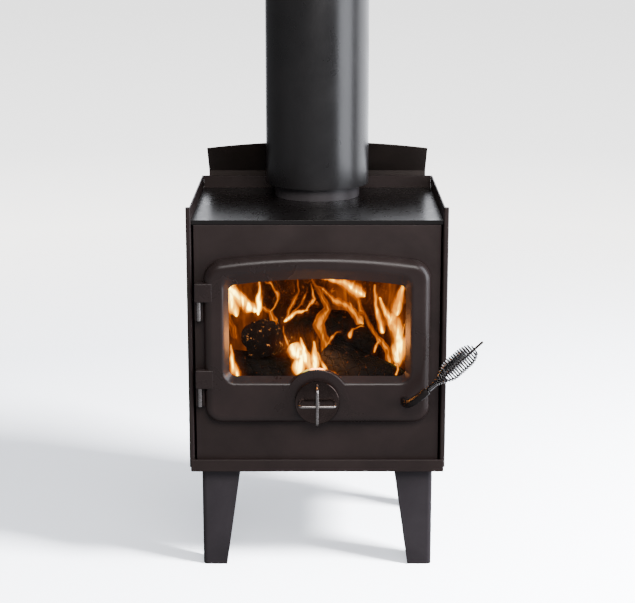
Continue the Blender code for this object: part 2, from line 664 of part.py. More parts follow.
# ---------------------------------------------------------------- rear heat shield
def build_heat_shield(stove):
    lean_y = -math.sin(SHIELD_LEAN)
    lean_z = math.cos(SHIELD_LEAN)
    bottom = LEG_HEIGHT + SHIELD_BOTTOM
    along = Vector((lean_y, lean_z))
    across = Vector((lean_z, -lean_y)) * SHIELD_SHEET
    bend_front = Vector((SHIELD_FACE, SHIELD_BEND))
    corner_back = bend_front + Vector((SHIELD_SHEET, SHIELD_SHEET * math.tan(SHIELD_LEAN / 2)))
    tip_front = bend_front + along * SHIELD_FLANGE
    tip_back = tip_front + across
    profile = [(SHIELD_FACE, bottom), (SHIELD_FACE + SHIELD_SHEET, bottom), tuple(corner_back),
               tuple(tip_back), tuple(tip_front), tuple(bend_front)]
    shield = sheet("rear_heat_shield", [profile], 2 * SHIELD_HALF, ALONG_X)
    as_part(shield, "shield_paint", (0, 0, 0), stove)

    flue = bar("shield_flue_cut", CASING_RADIUS + SHIELD_FLUE_CLEAR, 3 * SHIELD_FLANGE)
    join_or_cut(shield, flue, "DIFFERENCE", (0, FLUE_Y, SHIELD_BEND + SHIELD_FLANGE))

    bow = (SHIELD_HALF ** 2 + SHIELD_SAG ** 2) / (2 * SHIELD_SAG)
    beyond = 10 * SHIELD_SHEET
    trim = [(SHIELD_HALF + beyond, beyond), (-SHIELD_HALF - beyond, beyond)]
    for step in range(25):
        x = (SHIELD_HALF + beyond) * (step / 12 - 1)
        trim.append((x, math.sqrt(bow ** 2 - x ** 2) - bow))
    tilt = Matrix.Rotation(SHIELD_LEAN, 4, "X") @ FACING
    arch = sheet("shield_arch_cut", [trim], 15 * SHIELD_SHEET, tilt)
    join_or_cut(shield, arch, "DIFFERENCE", (0, tip_front.x, tip_front.y))

    for row, height in (("lower", bottom + STANDOFF_RISE), ("upper", SHIELD_BEND - STANDOFF_DROP)):
        for name, side in (("left", -1), ("right", 1)):
            length = SHIELD_GAP - 2 * GAP
            post = bar("shield_standoff_" + row + "_" + name, STANDOFF_RADIUS, length, 12, FACING)
            as_part(post, "plain_steel", (side * (SHIELD_HALF - STANDOFF_INSET),
                                          BODY_DEPTH + SHIELD_GAP / 2, height), stove)


# ---------------------------------------------------------------- door
def window_cutter():
    """The window's opening, flared towards the front, as a loft between two outlines."""
    near = inset_arched(WINDOW_SIDE - WINDOW_FLARE_SIDE, WINDOW_BOTTOM - WINDOW_FLARE_BOTTOM,
                        WINDOW_TOP - WINDOW_FLARE_TOP, WINDOW_CORNER + WINDOW_FLARE_SIDE,
                        WINDOW_ARCH)
    far = inset_arched(WINDOW_SIDE, WINDOW_BOTTOM, WINDOW_TOP, WINDOW_CORNER, WINDOW_ARCH)

    def build(working):
        rings = []
        for outline, y in ((near, DOOR_FACE - CUT_PAST), (far, REBATE_FRONT + CUT_PAST)):
            ring = [working.verts.new((x, y, z)) for x, z in outline]
            working.faces.new(ring)
            rings.append(ring)
        count = len(near)
        for index in range(count):
            following = (index + 1) % count
            working.faces.new((rings[0][index], rings[0][following],
                               rings[1][following], rings[1][index]))
        bmesh.ops.recalc_face_normals(working, faces=working.faces)
    return mesh_object("window_cut", build)


def bevel_front_edge(item, front, width, segments):
    working = bmesh.new()
    working.from_mesh(item.data)
    edges = [edge for edge in working.edges
             if all(abs(vertex.co.y - front) < 1e-5 for vertex in edge.verts)]
    bmesh.ops.bevel(working, geom=edges, offset=width, segments=segments, affect="EDGES",
                    profile=0.5, material=-1)
    working.to_mesh(item.data)
    working.free()


def build_door_frame(door):
    frame = sheet("door_frame", [inset_arched(0, 0, 0, DOOR_CORNER, DOOR_ARCH)],
                  DOOR_THICKNESS, FACING)
    bevel_front_edge(frame, -DOOR_THICKNESS / 2, DOOR_RIM, 5)
    as_part(frame, "cast_iron_paint", (0, DOOR_REAR - DOOR_THICKNESS / 2, 0), door, smooth=True)
    boss_depth = DOOR_REAR - DOOR_STANDOFF - BOSS_FACE
    boss = bar("air_boss", SEAT_RADIUS, boss_depth, ROUND_STEPS, FACING)
    bevel_front_edge(boss, -boss_depth / 2, SEAT_ROUND, 2)
    join_or_cut(frame, boss, "UNION", (0, BOSS_FACE + boss_depth / 2, AIR_Z))

    window = window_cutter()
    join_or_cut(frame, window, "DIFFERENCE", (0, 0, 0), "MANIFOLD")
    kept = bar("air_hump_kept", HUMP_RADIUS, 4 * DOOR_THICKNESS, ROUND_STEPS, FACING)
    join_or_cut(window, kept, "DIFFERENCE", (0, DOOR_FACE, AIR_Z))

    rebate_depth = DOOR_REAR - REBATE_FRONT
    rebate = sheet("glass_rebate_cut", [glass_outline(GAP)], rebate_depth + CUT_PAST, FACING)
    join_or_cut(frame, rebate, "DIFFERENCE", (0, REBATE_FRONT + (rebate_depth + CUT_PAST) / 2, 0))

    channel = sheet("seal_channel_cut", seal_loops(GAP), SEAL_DEPTH + CUT_PAST, FACING)
    join_or_cut(frame, channel, "DIFFERENCE", (0, DOOR_REAR - (SEAL_DEPTH - CUT_PAST) / 2, 0))

    well = bar("air_well", WELL_RADIUS, WELL_DEPTH * 2, 24, FACING)
    join_or_cut(frame, well, "DIFFERENCE", (0, BOSS_FACE, AIR_Z))
    through = 4 * DOOR_THICKNESS
    spindle_hole = bar("air_spindle_hole", SPINDLE_RADIUS + GAP, through, 20, FACING)
    join_or_cut(frame, spindle_hole, "DIFFERENCE", (0, DOOR_FACE, AIR_Z), "MANIFOLD")
    for index in range(PORT_COUNT):
        angle = 2 * math.pi * (index + 0.5) / PORT_COUNT
        port = bar("air_port_" + str(index + 1), PORT_RADIUS, through, 12, FACING)
        join_or_cut(frame, port, "DIFFERENCE", (PORT_CIRCLE * math.cos(angle), DOOR_FACE,
                                                AIR_Z + PORT_CIRCLE * math.sin(angle)),
                    "MANIFOLD")
    latch_hole = bar("latch_hole", LATCH_RADIUS + GAP, through, 24, FACING)
    join_or_cut(frame, latch_hole, "DIFFERENCE", (LATCH_X, DOOR_FACE, AIR_Z), "MANIFOLD")

    lug_right = HINGE_OUT + DOOR_RIM
    lug_width = LUG_HALF + lug_right
    for name, low in LUG_PLACES:
        lug = block("hinge_lug_" + name, (lug_width, 2 * LUG_HALF, LUG_HEIGHT), SOFT_EDGE)
        join_or_cut(frame, lug, "UNION", (HINGE_X + lug_right - lug_width / 2, HINGE_Y,
                                          low + LUG_HEIGHT / 2), "MANIFOLD")
        depth = LUG_HEIGHT - LUG_CAP
        hole = bar("hinge_hole_" + name, PIN_RADIUS + GAP, 2 * depth, 16)
        join_or_cut(frame, hole, "DIFFERENCE", (HINGE_X, HINGE_Y, low), "MANIFOLD")


def glass_outline(grow=0.0):
    margin = GLASS_OVERLAP + grow
    return inset_arched(WINDOW_SIDE - margin, WINDOW_BOTTOM - margin, WINDOW_TOP - margin,
                        WINDOW_CORNER, WINDOW_ARCH)


def seal_loops(grow=0.0):
    outer = inset_arched(SEAL_INSET - grow, SEAL_SILL - grow, SEAL_INSET - grow,
                         DOOR_CORNER - SEAL_INSET, DOOR_ARCH)
    inner_inset = SEAL_INSET + SEAL_WIDTH + grow
    inner = inset_arched(inner_inset, SEAL_SILL + SEAL_WIDTH + grow, inner_inset,
                         DOOR_CORNER - SEAL_INSET - SEAL_WIDTH, DOOR_ARCH)
    return [outer, inner]


def build_door(door):
    build_door_frame(door)
    glass = sheet("window_glass", [glass_outline()], GLASS_THICKNESS, FACING)
    as_part(glass, "ceramic_glass", (0, GLASS_FRONT + GLASS_THICKNESS / 2, 0), door)
    gasket_margin = GLASS_OVERLAP - GASKET_WIDTH
    inner = inset_arched(WINDOW_SIDE - gasket_margin, WINDOW_BOTTOM - gasket_margin,
                         WINDOW_TOP - gasket_margin, WINDOW_CORNER, WINDOW_ARCH)
    gasket = sheet("glass_gasket", [glass_outline(), inner], GASKET_THICKNESS, FACING)
    as_part(gasket, "ceramic_rope", (0, GASKET_FRONT + GASKET_THICKNESS / 2, 0), door)

    seal_front = DOOR_REAR - SEAL_DEPTH + GAP
    seal_depth = FRONT_FACE - GAP - seal_front
    seal = sheet("door_rope_seal", seal_loops(), seal_depth, FACING)
    as_part(seal, "ceramic_rope", (0, seal_front + seal_depth / 2, 0), door)

    glass_edge = DOOR_HALF - WINDOW_SIDE + GLASS_OVERLAP
    low = DOOR_BOTTOM + WINDOW_BOTTOM + RETAINER_END
    high = DOOR_TOP - WINDOW_TOP - WINDOW_ARCH - RETAINER_END
    for name, side in (("left", -1), ("right", 1)):
        xs = sorted((side * (glass_edge - RETAINER_WIDTH / 3),
                     side * (glass_edge + RETAINER_WIDTH * 2 / 3)))
        block_between("glass_retainer_" + name, (xs[0], DOOR_REAR + GAP, low),
                      (xs[1], DOOR_REAR + GAP + RETAINER_THICKNESS, high), "plain_steel", door)

    spindle_front = DISC_RIM - KNOB_DOME - SPINDLE_PROUD
    spindle_rear = DOOR_REAR + SPINDLE_TAIL
    spindle = bar("air_spindle", SPINDLE_RADIUS, spindle_rear - spindle_front, 24, FACING)
    as_part(spindle, "plain_steel", (0, (spindle_front + spindle_rear) / 2, AIR_Z), door)


def build_hinges(stove):
    for name, lug_low in LUG_PLACES:
        low = lug_low - LUG_HEIGHT
        pin_top = lug_low + LUG_HEIGHT - LUG_CAP - GAP
        pin = bar("hinge_pin_" + name, PIN_RADIUS, pin_top - low, 24)
        as_part(pin, "bright_wire", (HINGE_X, HINGE_Y, (pin_top + low) / 2), stove, smooth=True)
        block_between("hinge_bracket_" + name,
                      (HINGE_X - BRACKET_HALF, HINGE_Y + PIN_RADIUS + GAP, low),
                      (HINGE_X + BRACKET_HALF, FRONT_FACE - GAP, lug_low - GAP),
                      "stove_paint", stove, BRACKET_EDGE)
    keeper_x = LATCH_X + CAM_LENGTH + KEEPER_CLEAR
    block_between("latch_keeper", (keeper_x, FRONT_REAR + GAP, AIR_Z - KEEPER_HEIGHT / 2),
                  (keeper_x + KEEPER_WIDTH, FRONT_REAR + GAP + KEEPER_DEPTH,
                   AIR_Z + KEEPER_HEIGHT / 2), "dark_steel", stove, SOFT_EDGE)


# ---------------------------------------------------------------- latch and handle
def coil_radius(distance):
    """Radius of the coil's centre line at a distance from the arm's end."""
    snug = ROD_RADIUS + GAP + COIL_WIRE
    swell = min(max((distance - COIL_SWELL[0]) / (COIL_SWELL[1] - COIL_SWELL[0]), 0.0), 1.0)
    close = min(max((distance - COIL_CLOSE[0]) / (COIL_CLOSE[1] - COIL_CLOSE[0]), 0.0), 1.0)
    opened = swell * swell * (3 - 2 * swell)
    return snug + (COIL_BULGE - snug) * opened * math.sqrt(1 - close ** 2)


def coil_points(steps_per_turn=12):
    """The coil's centre line, tight on the shank and open where it bulges."""
    points = []
    distance = COIL_START
    angle = 0.0
    while distance < COIL_CLOSE[1]:
        radius = coil_radius(distance)
        points.append((distance, radius * math.cos(angle), radius * math.sin(angle)))
        openness = min(max((distance - COIL_SWELL[0]) / COIL_EASE, 0.0), 1.0)
        pitch = COIL_TIGHT_PITCH + (COIL_OPEN_PITCH - COIL_TIGHT_PITCH) * openness
        distance += pitch / steps_per_turn
        angle += 2 * math.pi / steps_per_turn
    return points


def arm_points(steps=12):
    """The cranked arm: straight out of the door, then swept along the grip's direction."""
    points = [(0.0, -GAP, 0.0)]
    for step in range(steps + 1):
        t = step / steps
        along = ARM_LENGTH * t * t
        forward = ARM_NECK + (ARM_FORWARD - ARM_NECK) * (1 - (1 - t) ** 2)
        points.append((along, -forward, 0.0))
    return points


def build_latch(latch):
    along_grip = Matrix.Rotation(-GRIP_ANGLE, 4, "Y")
    arm = curve_to_mesh(tube_curve("handle_arm", arm_points(), ARM_RADIUS, 4), along_grip)
    as_part(arm, "dark_steel", LATCH_AT, latch, smooth=True)

    grip_start = Vector((ARM_LENGTH + GAP, -ARM_FORWARD, 0.0))
    rod_end = grip_start + Vector((GRIP_LENGTH, 0.0, 0.0))
    rod = curve_to_mesh(tube_curve("grip_rod", [grip_start, rod_end], ROD_RADIUS, 2), along_grip)
    as_part(rod, "dark_steel", LATCH_AT, latch, smooth=True)
    wire = [Vector(point) + grip_start for point in coil_points()]
    coil = curve_to_mesh(tube_curve("coil_grip", wire, COIL_WIRE, 2), along_grip)
    as_part(coil, "bright_wire", LATCH_AT, latch, smooth=True)

    spindle_rear = CAM_REAR + GAP + NUT_THICKNESS
    spindle_front = DOOR_FACE
    spindle = bar("latch_spindle", LATCH_RADIUS, CAM_FRONT - GAP - spindle_front, 24, FACING)
    as_part(spindle, "plain_steel", (LATCH_X, (spindle_front + CAM_FRONT - GAP) / 2, AIR_Z), latch)
    stud = bar("latch_stud", LATCH_RADIUS / 2, spindle_rear - DOOR_REAR, 16, FACING)
    join_or_cut(spindle, stud, "UNION", (LATCH_X, (spindle_rear + DOOR_REAR) / 2, AIR_Z))

    cam_outline = rounded([(-CAM_HALF_WIDTH, -CAM_HALF_WIDTH, CAM_HALF_WIDTH * 0.9),
                           (CAM_LENGTH, -CAM_HALF_WIDTH, CAM_CORNER),
                           (CAM_LENGTH, CAM_HALF_WIDTH / 2, CAM_CORNER),
                           (-CAM_HALF_WIDTH, CAM_HALF_WIDTH, CAM_HALF_WIDTH * 0.9)], 4)
    cam = sheet("latch_cam", [cam_outline], CAM_THICKNESS, FACING)
    as_part(cam, "dark_steel", (LATCH_X, CAM_FRONT + CAM_THICKNESS / 2, AIR_Z), latch)
    stud_hole = bar("latch_cam_hole", LATCH_RADIUS / 2 + GAP, CAM_THICKNESS * 3, 16, FACING)
    join_or_cut(cam, stud_hole, "DIFFERENCE", (LATCH_X, CAM_FRONT + CAM_THICKNESS / 2, AIR_Z))

    nut_middle = CAM_REAR + GAP + NUT_THICKNESS / 2
    nut = bar("latch_nut", NUT_RADIUS, NUT_THICKNESS, 6, FACING)
    as_part(nut, "plain_steel", (LATCH_X, nut_middle, AIR_Z), latch)
    thread = bar("latch_nut_hole", LATCH_RADIUS / 2 + GAP, NUT_THICKNESS * 3, 16, FACING)
    join_or_cut(nut, thread, "DIFFERENCE", (LATCH_X, nut_middle, AIR_Z))


# ---------------------------------------------------------------- air control
def wire_loop(bar_forward, steps=5):
    """A bent wire: out of the disc, round a bend, across it, and back to the disc."""
    half = []
    for step in range(steps + 1):
        angle = math.pi / 2 * step / steps
        half.append((WIRE_REACH - WIRE_BEND + WIRE_BEND * math.cos(angle),
                     -(bar_forward - WIRE_BEND + WIRE_BEND * math.sin(angle)), 0.0))
    foot = (WIRE_REACH, -GAP - disc_height(WIRE_REACH - WIRE_RADIUS), 0.0)
    right = [foot] + half
    left = [(-x, y, z) for x, y, z in reversed(right)]
    return right + left


def disc_height(radius):
    """Height of the domed disc's front above its rim, at a radius."""
    return KNOB_DOME * (1 - (radius / KNOB_RADIUS) ** 2)


def build_air_control(slide, knob):
    bore = SPINDLE_RADIUS + GAP
    radii = [bore + (KNOB_RADIUS - KNOB_EDGE - bore) * step / 5 for step in range(6)]
    profile = [(radius, KNOB_RIM + disc_height(radius)) for radius in radii]
    profile += [(KNOB_RADIUS, KNOB_RIM - KNOB_EDGE), (KNOB_RADIUS, 0.0), (bore, 0.0)]
    turned_part("air_disc", profile, "dark_steel", (0, DISC_REAR, AIR_Z), knob, closed=True,
                turn=FACING, steps=ROUND_STEPS)

    rim_at = Vector((0, DISC_RIM, AIR_Z))
    level = curve_to_mesh(tube_curve("air_wire_level", wire_loop(WIRE_STANDOFF), WIRE_RADIUS, 2))
    as_part(level, "bright_wire", rim_at, knob, smooth=True)
    upright_forward = WIRE_STANDOFF + 2 * WIRE_RADIUS + GAP
    stand_up = Matrix.Rotation(math.pi / 2, 4, "Y")
    upright = curve_to_mesh(tube_curve("air_wire_upright", wire_loop(upright_forward),
                                       WIRE_RADIUS, 2), stand_up)
    as_part(upright, "bright_wire", rim_at, knob, smooth=True)

    turned_part("air_friction_washer",
                ring_profile(bore, WELL_RADIUS * 0.75, -WASHER_THICKNESS - GAP, -GAP),
                "plain_steel", (0, DISC_REAR, AIR_Z), slide, closed=True, turn=FACING, steps=24)


# ---------------------------------------------------------------- assembly
def stand_on_origin(stove):
    """Move the stove so that its bounding box's bottom centre is the origin."""
    bpy.context.view_layer.update()
    depsgraph = bpy.context.evaluated_depsgraph_get()
    corners = []
    for item in PARTS.objects:
        if item.type == "EMPTY":
            continue
        evaluated = item.evaluated_get(depsgraph)
        corners += [evaluated.matrix_world @ Vector(corner) for corner in evaluated.bound_box]
    low = [min(corner[axis] for corner in corners) for axis in range(3)]
    high = [max(corner[axis] for corner in corners) for axis in range(3)]
    stove.location = (-(low[0] + high[0]) / 2, -(low[1] + high[1]) / 2, -low[2])


def build_stove():
    stove = new_pivot("stove_frame", STOVE_AT)
    door = new_pivot("door_hinge_axis", DOOR_AT, stove)
    latch = new_pivot("latch_axis", LATCH_AT, door)
    slide = new_pivot("air_slide_axis", AIR_AT, door)
    knob = new_pivot("air_knob_axis", AIR_AT, slide)
    build_body(stove)
    build_lining(stove)
    build_legs(stove)
    build_flue(stove)
    build_heat_shield(stove)
    build_hinges(stove)
    build_door(door)
    build_latch(latch)
    build_air_control(slide, knob)
    stand_on_origin(stove)


clear_scene()
PARTS = new_collection("wood_burning_stove")
TOOLS = new_collection("stove_cutters")
PIVOT_ORIGINS = {}
FINISH = make_finishes()
build_stove()
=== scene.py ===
"""The looks of a wood burning stove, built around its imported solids."""

import logging
import math
from dataclasses import dataclass, field, replace
from enum import Enum

import bmesh
import bpy
import numpy as np
from mathutils import Matrix, Vector, noise


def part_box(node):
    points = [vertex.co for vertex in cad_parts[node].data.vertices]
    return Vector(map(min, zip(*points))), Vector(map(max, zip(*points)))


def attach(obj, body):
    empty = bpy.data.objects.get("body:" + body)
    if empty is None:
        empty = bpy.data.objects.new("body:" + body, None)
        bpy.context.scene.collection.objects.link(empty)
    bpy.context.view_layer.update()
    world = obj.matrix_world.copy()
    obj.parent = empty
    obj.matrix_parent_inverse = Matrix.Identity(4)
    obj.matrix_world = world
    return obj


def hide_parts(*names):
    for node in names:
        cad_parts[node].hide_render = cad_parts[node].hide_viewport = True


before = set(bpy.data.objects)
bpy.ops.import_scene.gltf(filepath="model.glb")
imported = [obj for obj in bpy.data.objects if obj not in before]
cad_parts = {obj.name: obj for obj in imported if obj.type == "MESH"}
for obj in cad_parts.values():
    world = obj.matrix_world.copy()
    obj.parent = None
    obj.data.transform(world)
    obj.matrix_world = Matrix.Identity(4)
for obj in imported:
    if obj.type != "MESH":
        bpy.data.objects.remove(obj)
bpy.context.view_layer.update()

LOG = logging.getLogger("stove")
Colour = tuple[float, float, float]
Socket = bpy.types.NodeSocket

GAP = 0.0003                    # clearance that the solids keep between pieces
NOISE_SEED = 7                  # makes the flames the same on every run


class Part(Enum):
    """The moving bodies of the stove."""

    STOVE = "stove"
    DOOR = "door"
    LATCH = "latch"
    AIR_CARRIER = "air_carrier"
    AIR_KNOB = "air_knob"


class Slot(Enum):
    """The material slots of the record."""

    STOVE_PAINT = "stove_paint"
    CAST_IRON = "cast_iron_paint"
    COOK_PLATE = "cook_plate_paint"
    SHIELD = "shield_paint"
    FLUE = "flue_paint"
    BRIGHT_WIRE = "bright_wire"
    DARK_STEEL = "dark_steel"
    PLAIN_STEEL = "plain_steel"
    FIREBRICK = "firebrick"
    ROPE = "ceramic_rope"
    GLASS = "ceramic_glass"


class Facing(Enum):
    """How a turned or drawn piece, made upright, is laid."""

    UP = "up"
    FORWARD = "forward"

    def matrix(self) -> Matrix:
        """The turn from upright to this facing."""
        return Matrix.Rotation(math.pi / 2 if self is Facing.FORWARD else 0.0, 4, "X")


# ---------------------------------------------------------------- places read from the frame
@dataclass(frozen=True)
class Datum:
    """Places on the stove that the sub-assemblies measure from, in metres."""

    middle_x: float
    front_y: float
    door_half: float
    door_low: float
    door_top: float
    air_z: float
    latch_x: float
    flue: Vector

    @classmethod
    def read(cls) -> "Datum":
        """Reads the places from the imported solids.

        Returns:
            The datum of this stove.
        """
        plate_low, plate_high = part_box("front_plate")
        seal_low, seal_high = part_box("door_rope_seal")
        casing_low, casing_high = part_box("flue_casing")
        washer_low, washer_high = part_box("air_friction_washer")
        spindle_low, spindle_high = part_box("latch_spindle")
        door_low, door_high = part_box("door_frame")
        middle = (plate_low.x + plate_high.x) / 2
        return cls(middle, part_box("side_panel_left")[0].y, door_high.x - middle,
                   seal_low.z - Door.seal_sill, seal_high.z + Door.seal_inset,
                   (washer_low.z + washer_high.z) / 2, (spindle_low.x + spindle_high.x) / 2,
                   Vector(((casing_low.x + casing_high.x) / 2, (casing_low.y + casing_high.y) / 2,
                           casing_low.z)))

    def at(self, x: float, y: float, z: float) -> Vector:
        """A point given from the middle plane, the front of the side panels and the floor."""
        return Vector((self.middle_x + x, self.front_y + y, z))


# ---------------------------------------------------------------- node wiring
class Wiring:
    """Places nodes in one node tree and joins them."""

    def __init__(self, tree: bpy.types.NodeTree) -> None:
        """Takes the tree that the nodes go in."""
        self.tree = tree

    def add(self, kind: str, inputs: dict[str | int, object] | None = None,
            **settings: object) -> bpy.types.Node:
        """Adds a node.

        Args:
            kind: The node's type, without its common prefix.
            inputs: Values or sockets for the node's inputs.
            settings: The node's own settings.

        Returns:
            The new node.
        """
        node = self.tree.nodes.new("ShaderNode" + kind)
        for name, value in settings.items():
            setattr(node, name, value)
        for name, value in (inputs or {}).items():
            self.feed(node.inputs[name], value)
        return node

    def feed(self, socket: Socket, value: object) -> None:
        """Joins a socket to an input, or sets the input's value."""
        if isinstance(value, bpy.types.NodeSocket):
            self.tree.links.new(value, socket)
        elif isinstance(value, tuple) and len(value) == 3 and socket.type == "RGBA":
            socket.default_value = (*value, 1.0)
        else:
            socket.default_value = value

    def maths(self, operation: str, first: object, second: object = 0.0,
              clamp: bool = False) -> Socket:
        """One arithmetic step on two values."""
        node = self.add("Math", {0: first, 1: second}, operation=operation, use_clamp=clamp)
        return node.outputs[0]

    def blend(self, share: object, first: object, second: object, mode: str = "MIX") -> Socket:
        """A mix of two colours."""
        node = self.add("Mix", {0: share, 6: first, 7: second}, data_type="RGBA", blend_type=mode)
        return node.outputs[2]

    def ramp(self, value: object, stops: list[tuple[float, Colour]]) -> Socket:
        """A colour that follows a value.

        Args:
            value: The value's socket.
            stops: Places from 0 to 1 and their colours.

        Returns:
            The colour's socket.
        """
        node = self.add("ValToRGB", {0: value})
        elements = node.color_ramp.elements
        while len(elements) < len(stops):
            elements.new(1.0)
        for element, (place, colour) in zip(elements, stops):
            element.position = place
            element.color = (*colour, 1.0)
        return node.outputs[0]

    def spread(self, value: object, low: float, high: float,
               to_low: float = 0.0, to_high: float = 1.0) -> Socket:
        """A value's range carried over to another range, held at its ends."""
        node = self.add("MapRange", {0: value, 1: low, 2: high, 3: to_low, 4: to_high})
        return node.outputs[0]

    def grain(self, place: object, scale: float, detail: float = 3.0, rough: float = 0.55,
              bend: float = 0.0) -> Socket:
        """A cloudy value at a scale, in features per metre."""
        node = self.add("TexNoise", {"Vector": place, "Scale": scale, "Detail": detail,
                                     "Roughness": rough, "Distortion": bend})
        return node.outputs[0]

    def place(self, stretch: tuple[float, float, float] = (1.0, 1.0, 1.0),
              turn: tuple[float, float, float] = (0.0, 0.0, 0.0)) -> Socket:
        """Object coordinates, stretched and turned."""
        where = self.add("TexCoord").outputs["Object"]
        node = self.add("Mapping", {"Vector": where, "Scale": stretch, "Rotation": turn})
        return node.outputs[0]


def open_group(name: str, inputs: list[tuple[str, float]],
               outputs: list[str]) -> tuple[bpy.types.NodeTree, Wiring, dict[str, Socket], bpy.types.Node]:
    """Starts a shared node group with named inputs and outputs.

    Args:
        name: The group's name.
        inputs: Names and default values of its inputs.
        outputs: Names of its outputs, all values.

    Returns:
        The group, its wiring, its input sockets by name, and its output node.
    """
    tree = bpy.data.node_groups.new(name, "ShaderNodeTree")
    for label, value in inputs:
        socket = tree.interface.new_socket(label, in_out="INPUT", socket_type="NodeSocketFloat")
        socket.default_value = value
    for label in outputs:
        tree.interface.new_socket(label, in_out="OUTPUT", socket_type="NodeSocketFloat")
    source = tree.nodes.new("NodeGroupInput")
    sink = tree.nodes.new("NodeGroupOutput")
    return tree, Wiring(tree), {label: source.outputs[label] for label, _ in inputs}, sink


class Effects:
    """Node groups that several finishes share, each built once."""

    _built: dict[str, bpy.types.NodeTree] = {}

    @classmethod
    def _once(cls, name: str, build: object) -> bpy.types.NodeTree:
        """Builds a group the first time that it is asked for."""
        if name not in cls._built:
            cls._built[name] = build()
        return cls._built[name]

    @classmethod
    def coat_grain(cls) -> bpy.types.NodeTree:
        """The fine pebbled surface of sprayed stove paint, and its larger mottling."""
        def build() -> bpy.types.NodeTree:
            tree, wire, given, sink = open_group("coat_grain", [("Scale", 900.0), ("Mottle Scale", 9.0)],
                                                 ["Height", "Mottle", "Speck"])
            where = wire.add("TexCoord").outputs["Object"]
            fine = wire.add("TexNoise", {"Vector": where, "Scale": given["Scale"], "Detail": 2.0})
            cells = wire.add("TexVoronoi", {"Vector": where, "Scale": given["Scale"]},
                             feature="SMOOTH_F1")
            height = wire.maths("ADD", wire.maths("MULTIPLY", fine.outputs[0], 0.65),
                                wire.maths("MULTIPLY", cells.outputs[0], 0.5))
            mottle = wire.add("TexNoise", {"Vector": where, "Scale": given["Mottle Scale"],
                                           "Detail": 5.0, "Roughness": 0.6, "Distortion": 0.4})
            wire.feed(sink.inputs["Height"], height)
            wire.feed(sink.inputs["Mottle"], mottle.outputs[0])
            wire.feed(sink.inputs["Speck"], wire.spread(fine.outputs[0], 0.62, 0.72))
            return tree
        return cls._once("coat_grain", build)

    @classmethod
    def edge_wear(cls) -> bpy.types.NodeTree:
        """A mask of rubbed edges, broken up by noise."""
        def build() -> bpy.types.NodeTree:
            tree, wire, given, sink = open_group("edge_wear", [("Radius", 0.002), ("Break Up", 70.0)],
                                                 ["Mask"])
            soft = wire.add("Bevel", {"Radius": given["Radius"]}, samples=4)
            flat = wire.add("NewGeometry").outputs["Normal"]
            turn = wire.add("VectorMath", {0: soft.outputs[0], 1: flat}, operation="DOT_PRODUCT")
            edge = wire.spread(turn.outputs["Value"], 0.97, 0.86)
            where = wire.add("TexCoord").outputs["Object"]
            patch = wire.add("TexNoise", {"Vector": where, "Scale": given["Break Up"], "Detail": 4.0})
            wire.feed(sink.inputs["Mask"], wire.maths("MULTIPLY", edge,
                                                      wire.spread(patch.outputs[0], 0.42, 0.62)))
            return tree
        return cls._once("edge_wear", build)

    @classmethod
    def settled_dust(cls) -> bpy.types.NodeTree:
        """A mask of fine dust on faces that look up."""
        def build() -> bpy.types.NodeTree:
            tree, wire, given, sink = open_group("settled_dust", [("Scale", 45.0)], ["Mask"])
            normal = wire.add("NewGeometry").outputs["Normal"]
            up = wire.add("SeparateXYZ", {0: normal}).outputs["Z"]
            where = wire.add("TexCoord").outputs["Object"]
            patch = wire.add("TexNoise", {"Vector": where, "Scale": given["Scale"], "Detail": 6.0,
                                          "Roughness": 0.7})
            wire.feed(sink.inputs["Mask"], wire.maths("MULTIPLY", wire.spread(up, 0.5, 0.98),
                                                      wire.spread(patch.outputs[0], 0.4, 0.75)))
            return tree
        return cls._once("settled_dust", build)


def use_group(wire: Wiring, group: bpy.types.NodeTree, **values: float) -> bpy.types.Node:
    """Places a shared group in a material, with this material's own values."""
    node = wire.add("Group", node_tree=group)
    for name, value in values.items():
        node.inputs[name.replace("_", " ")].default_value = value
    return node


def start_material(name: str) -> tuple[bpy.types.Material, Wiring, bpy.types.Node]:
    """Makes an empty material with one Principled shader.

    Args:
        name: The material's name.

    Returns:
        The material, its wiring and its shader.
    """
    material = bpy.data.materials.new(name)
    material.use_nodes = True
    material.node_tree.nodes.clear()
    wire = Wiring(material.node_tree)
    shader = wire.add("BsdfPrincipled")
    output = wire.add("OutputMaterial")
    wire.feed(output.inputs["Surface"], shader.outputs[0])
    return material, wire, shader


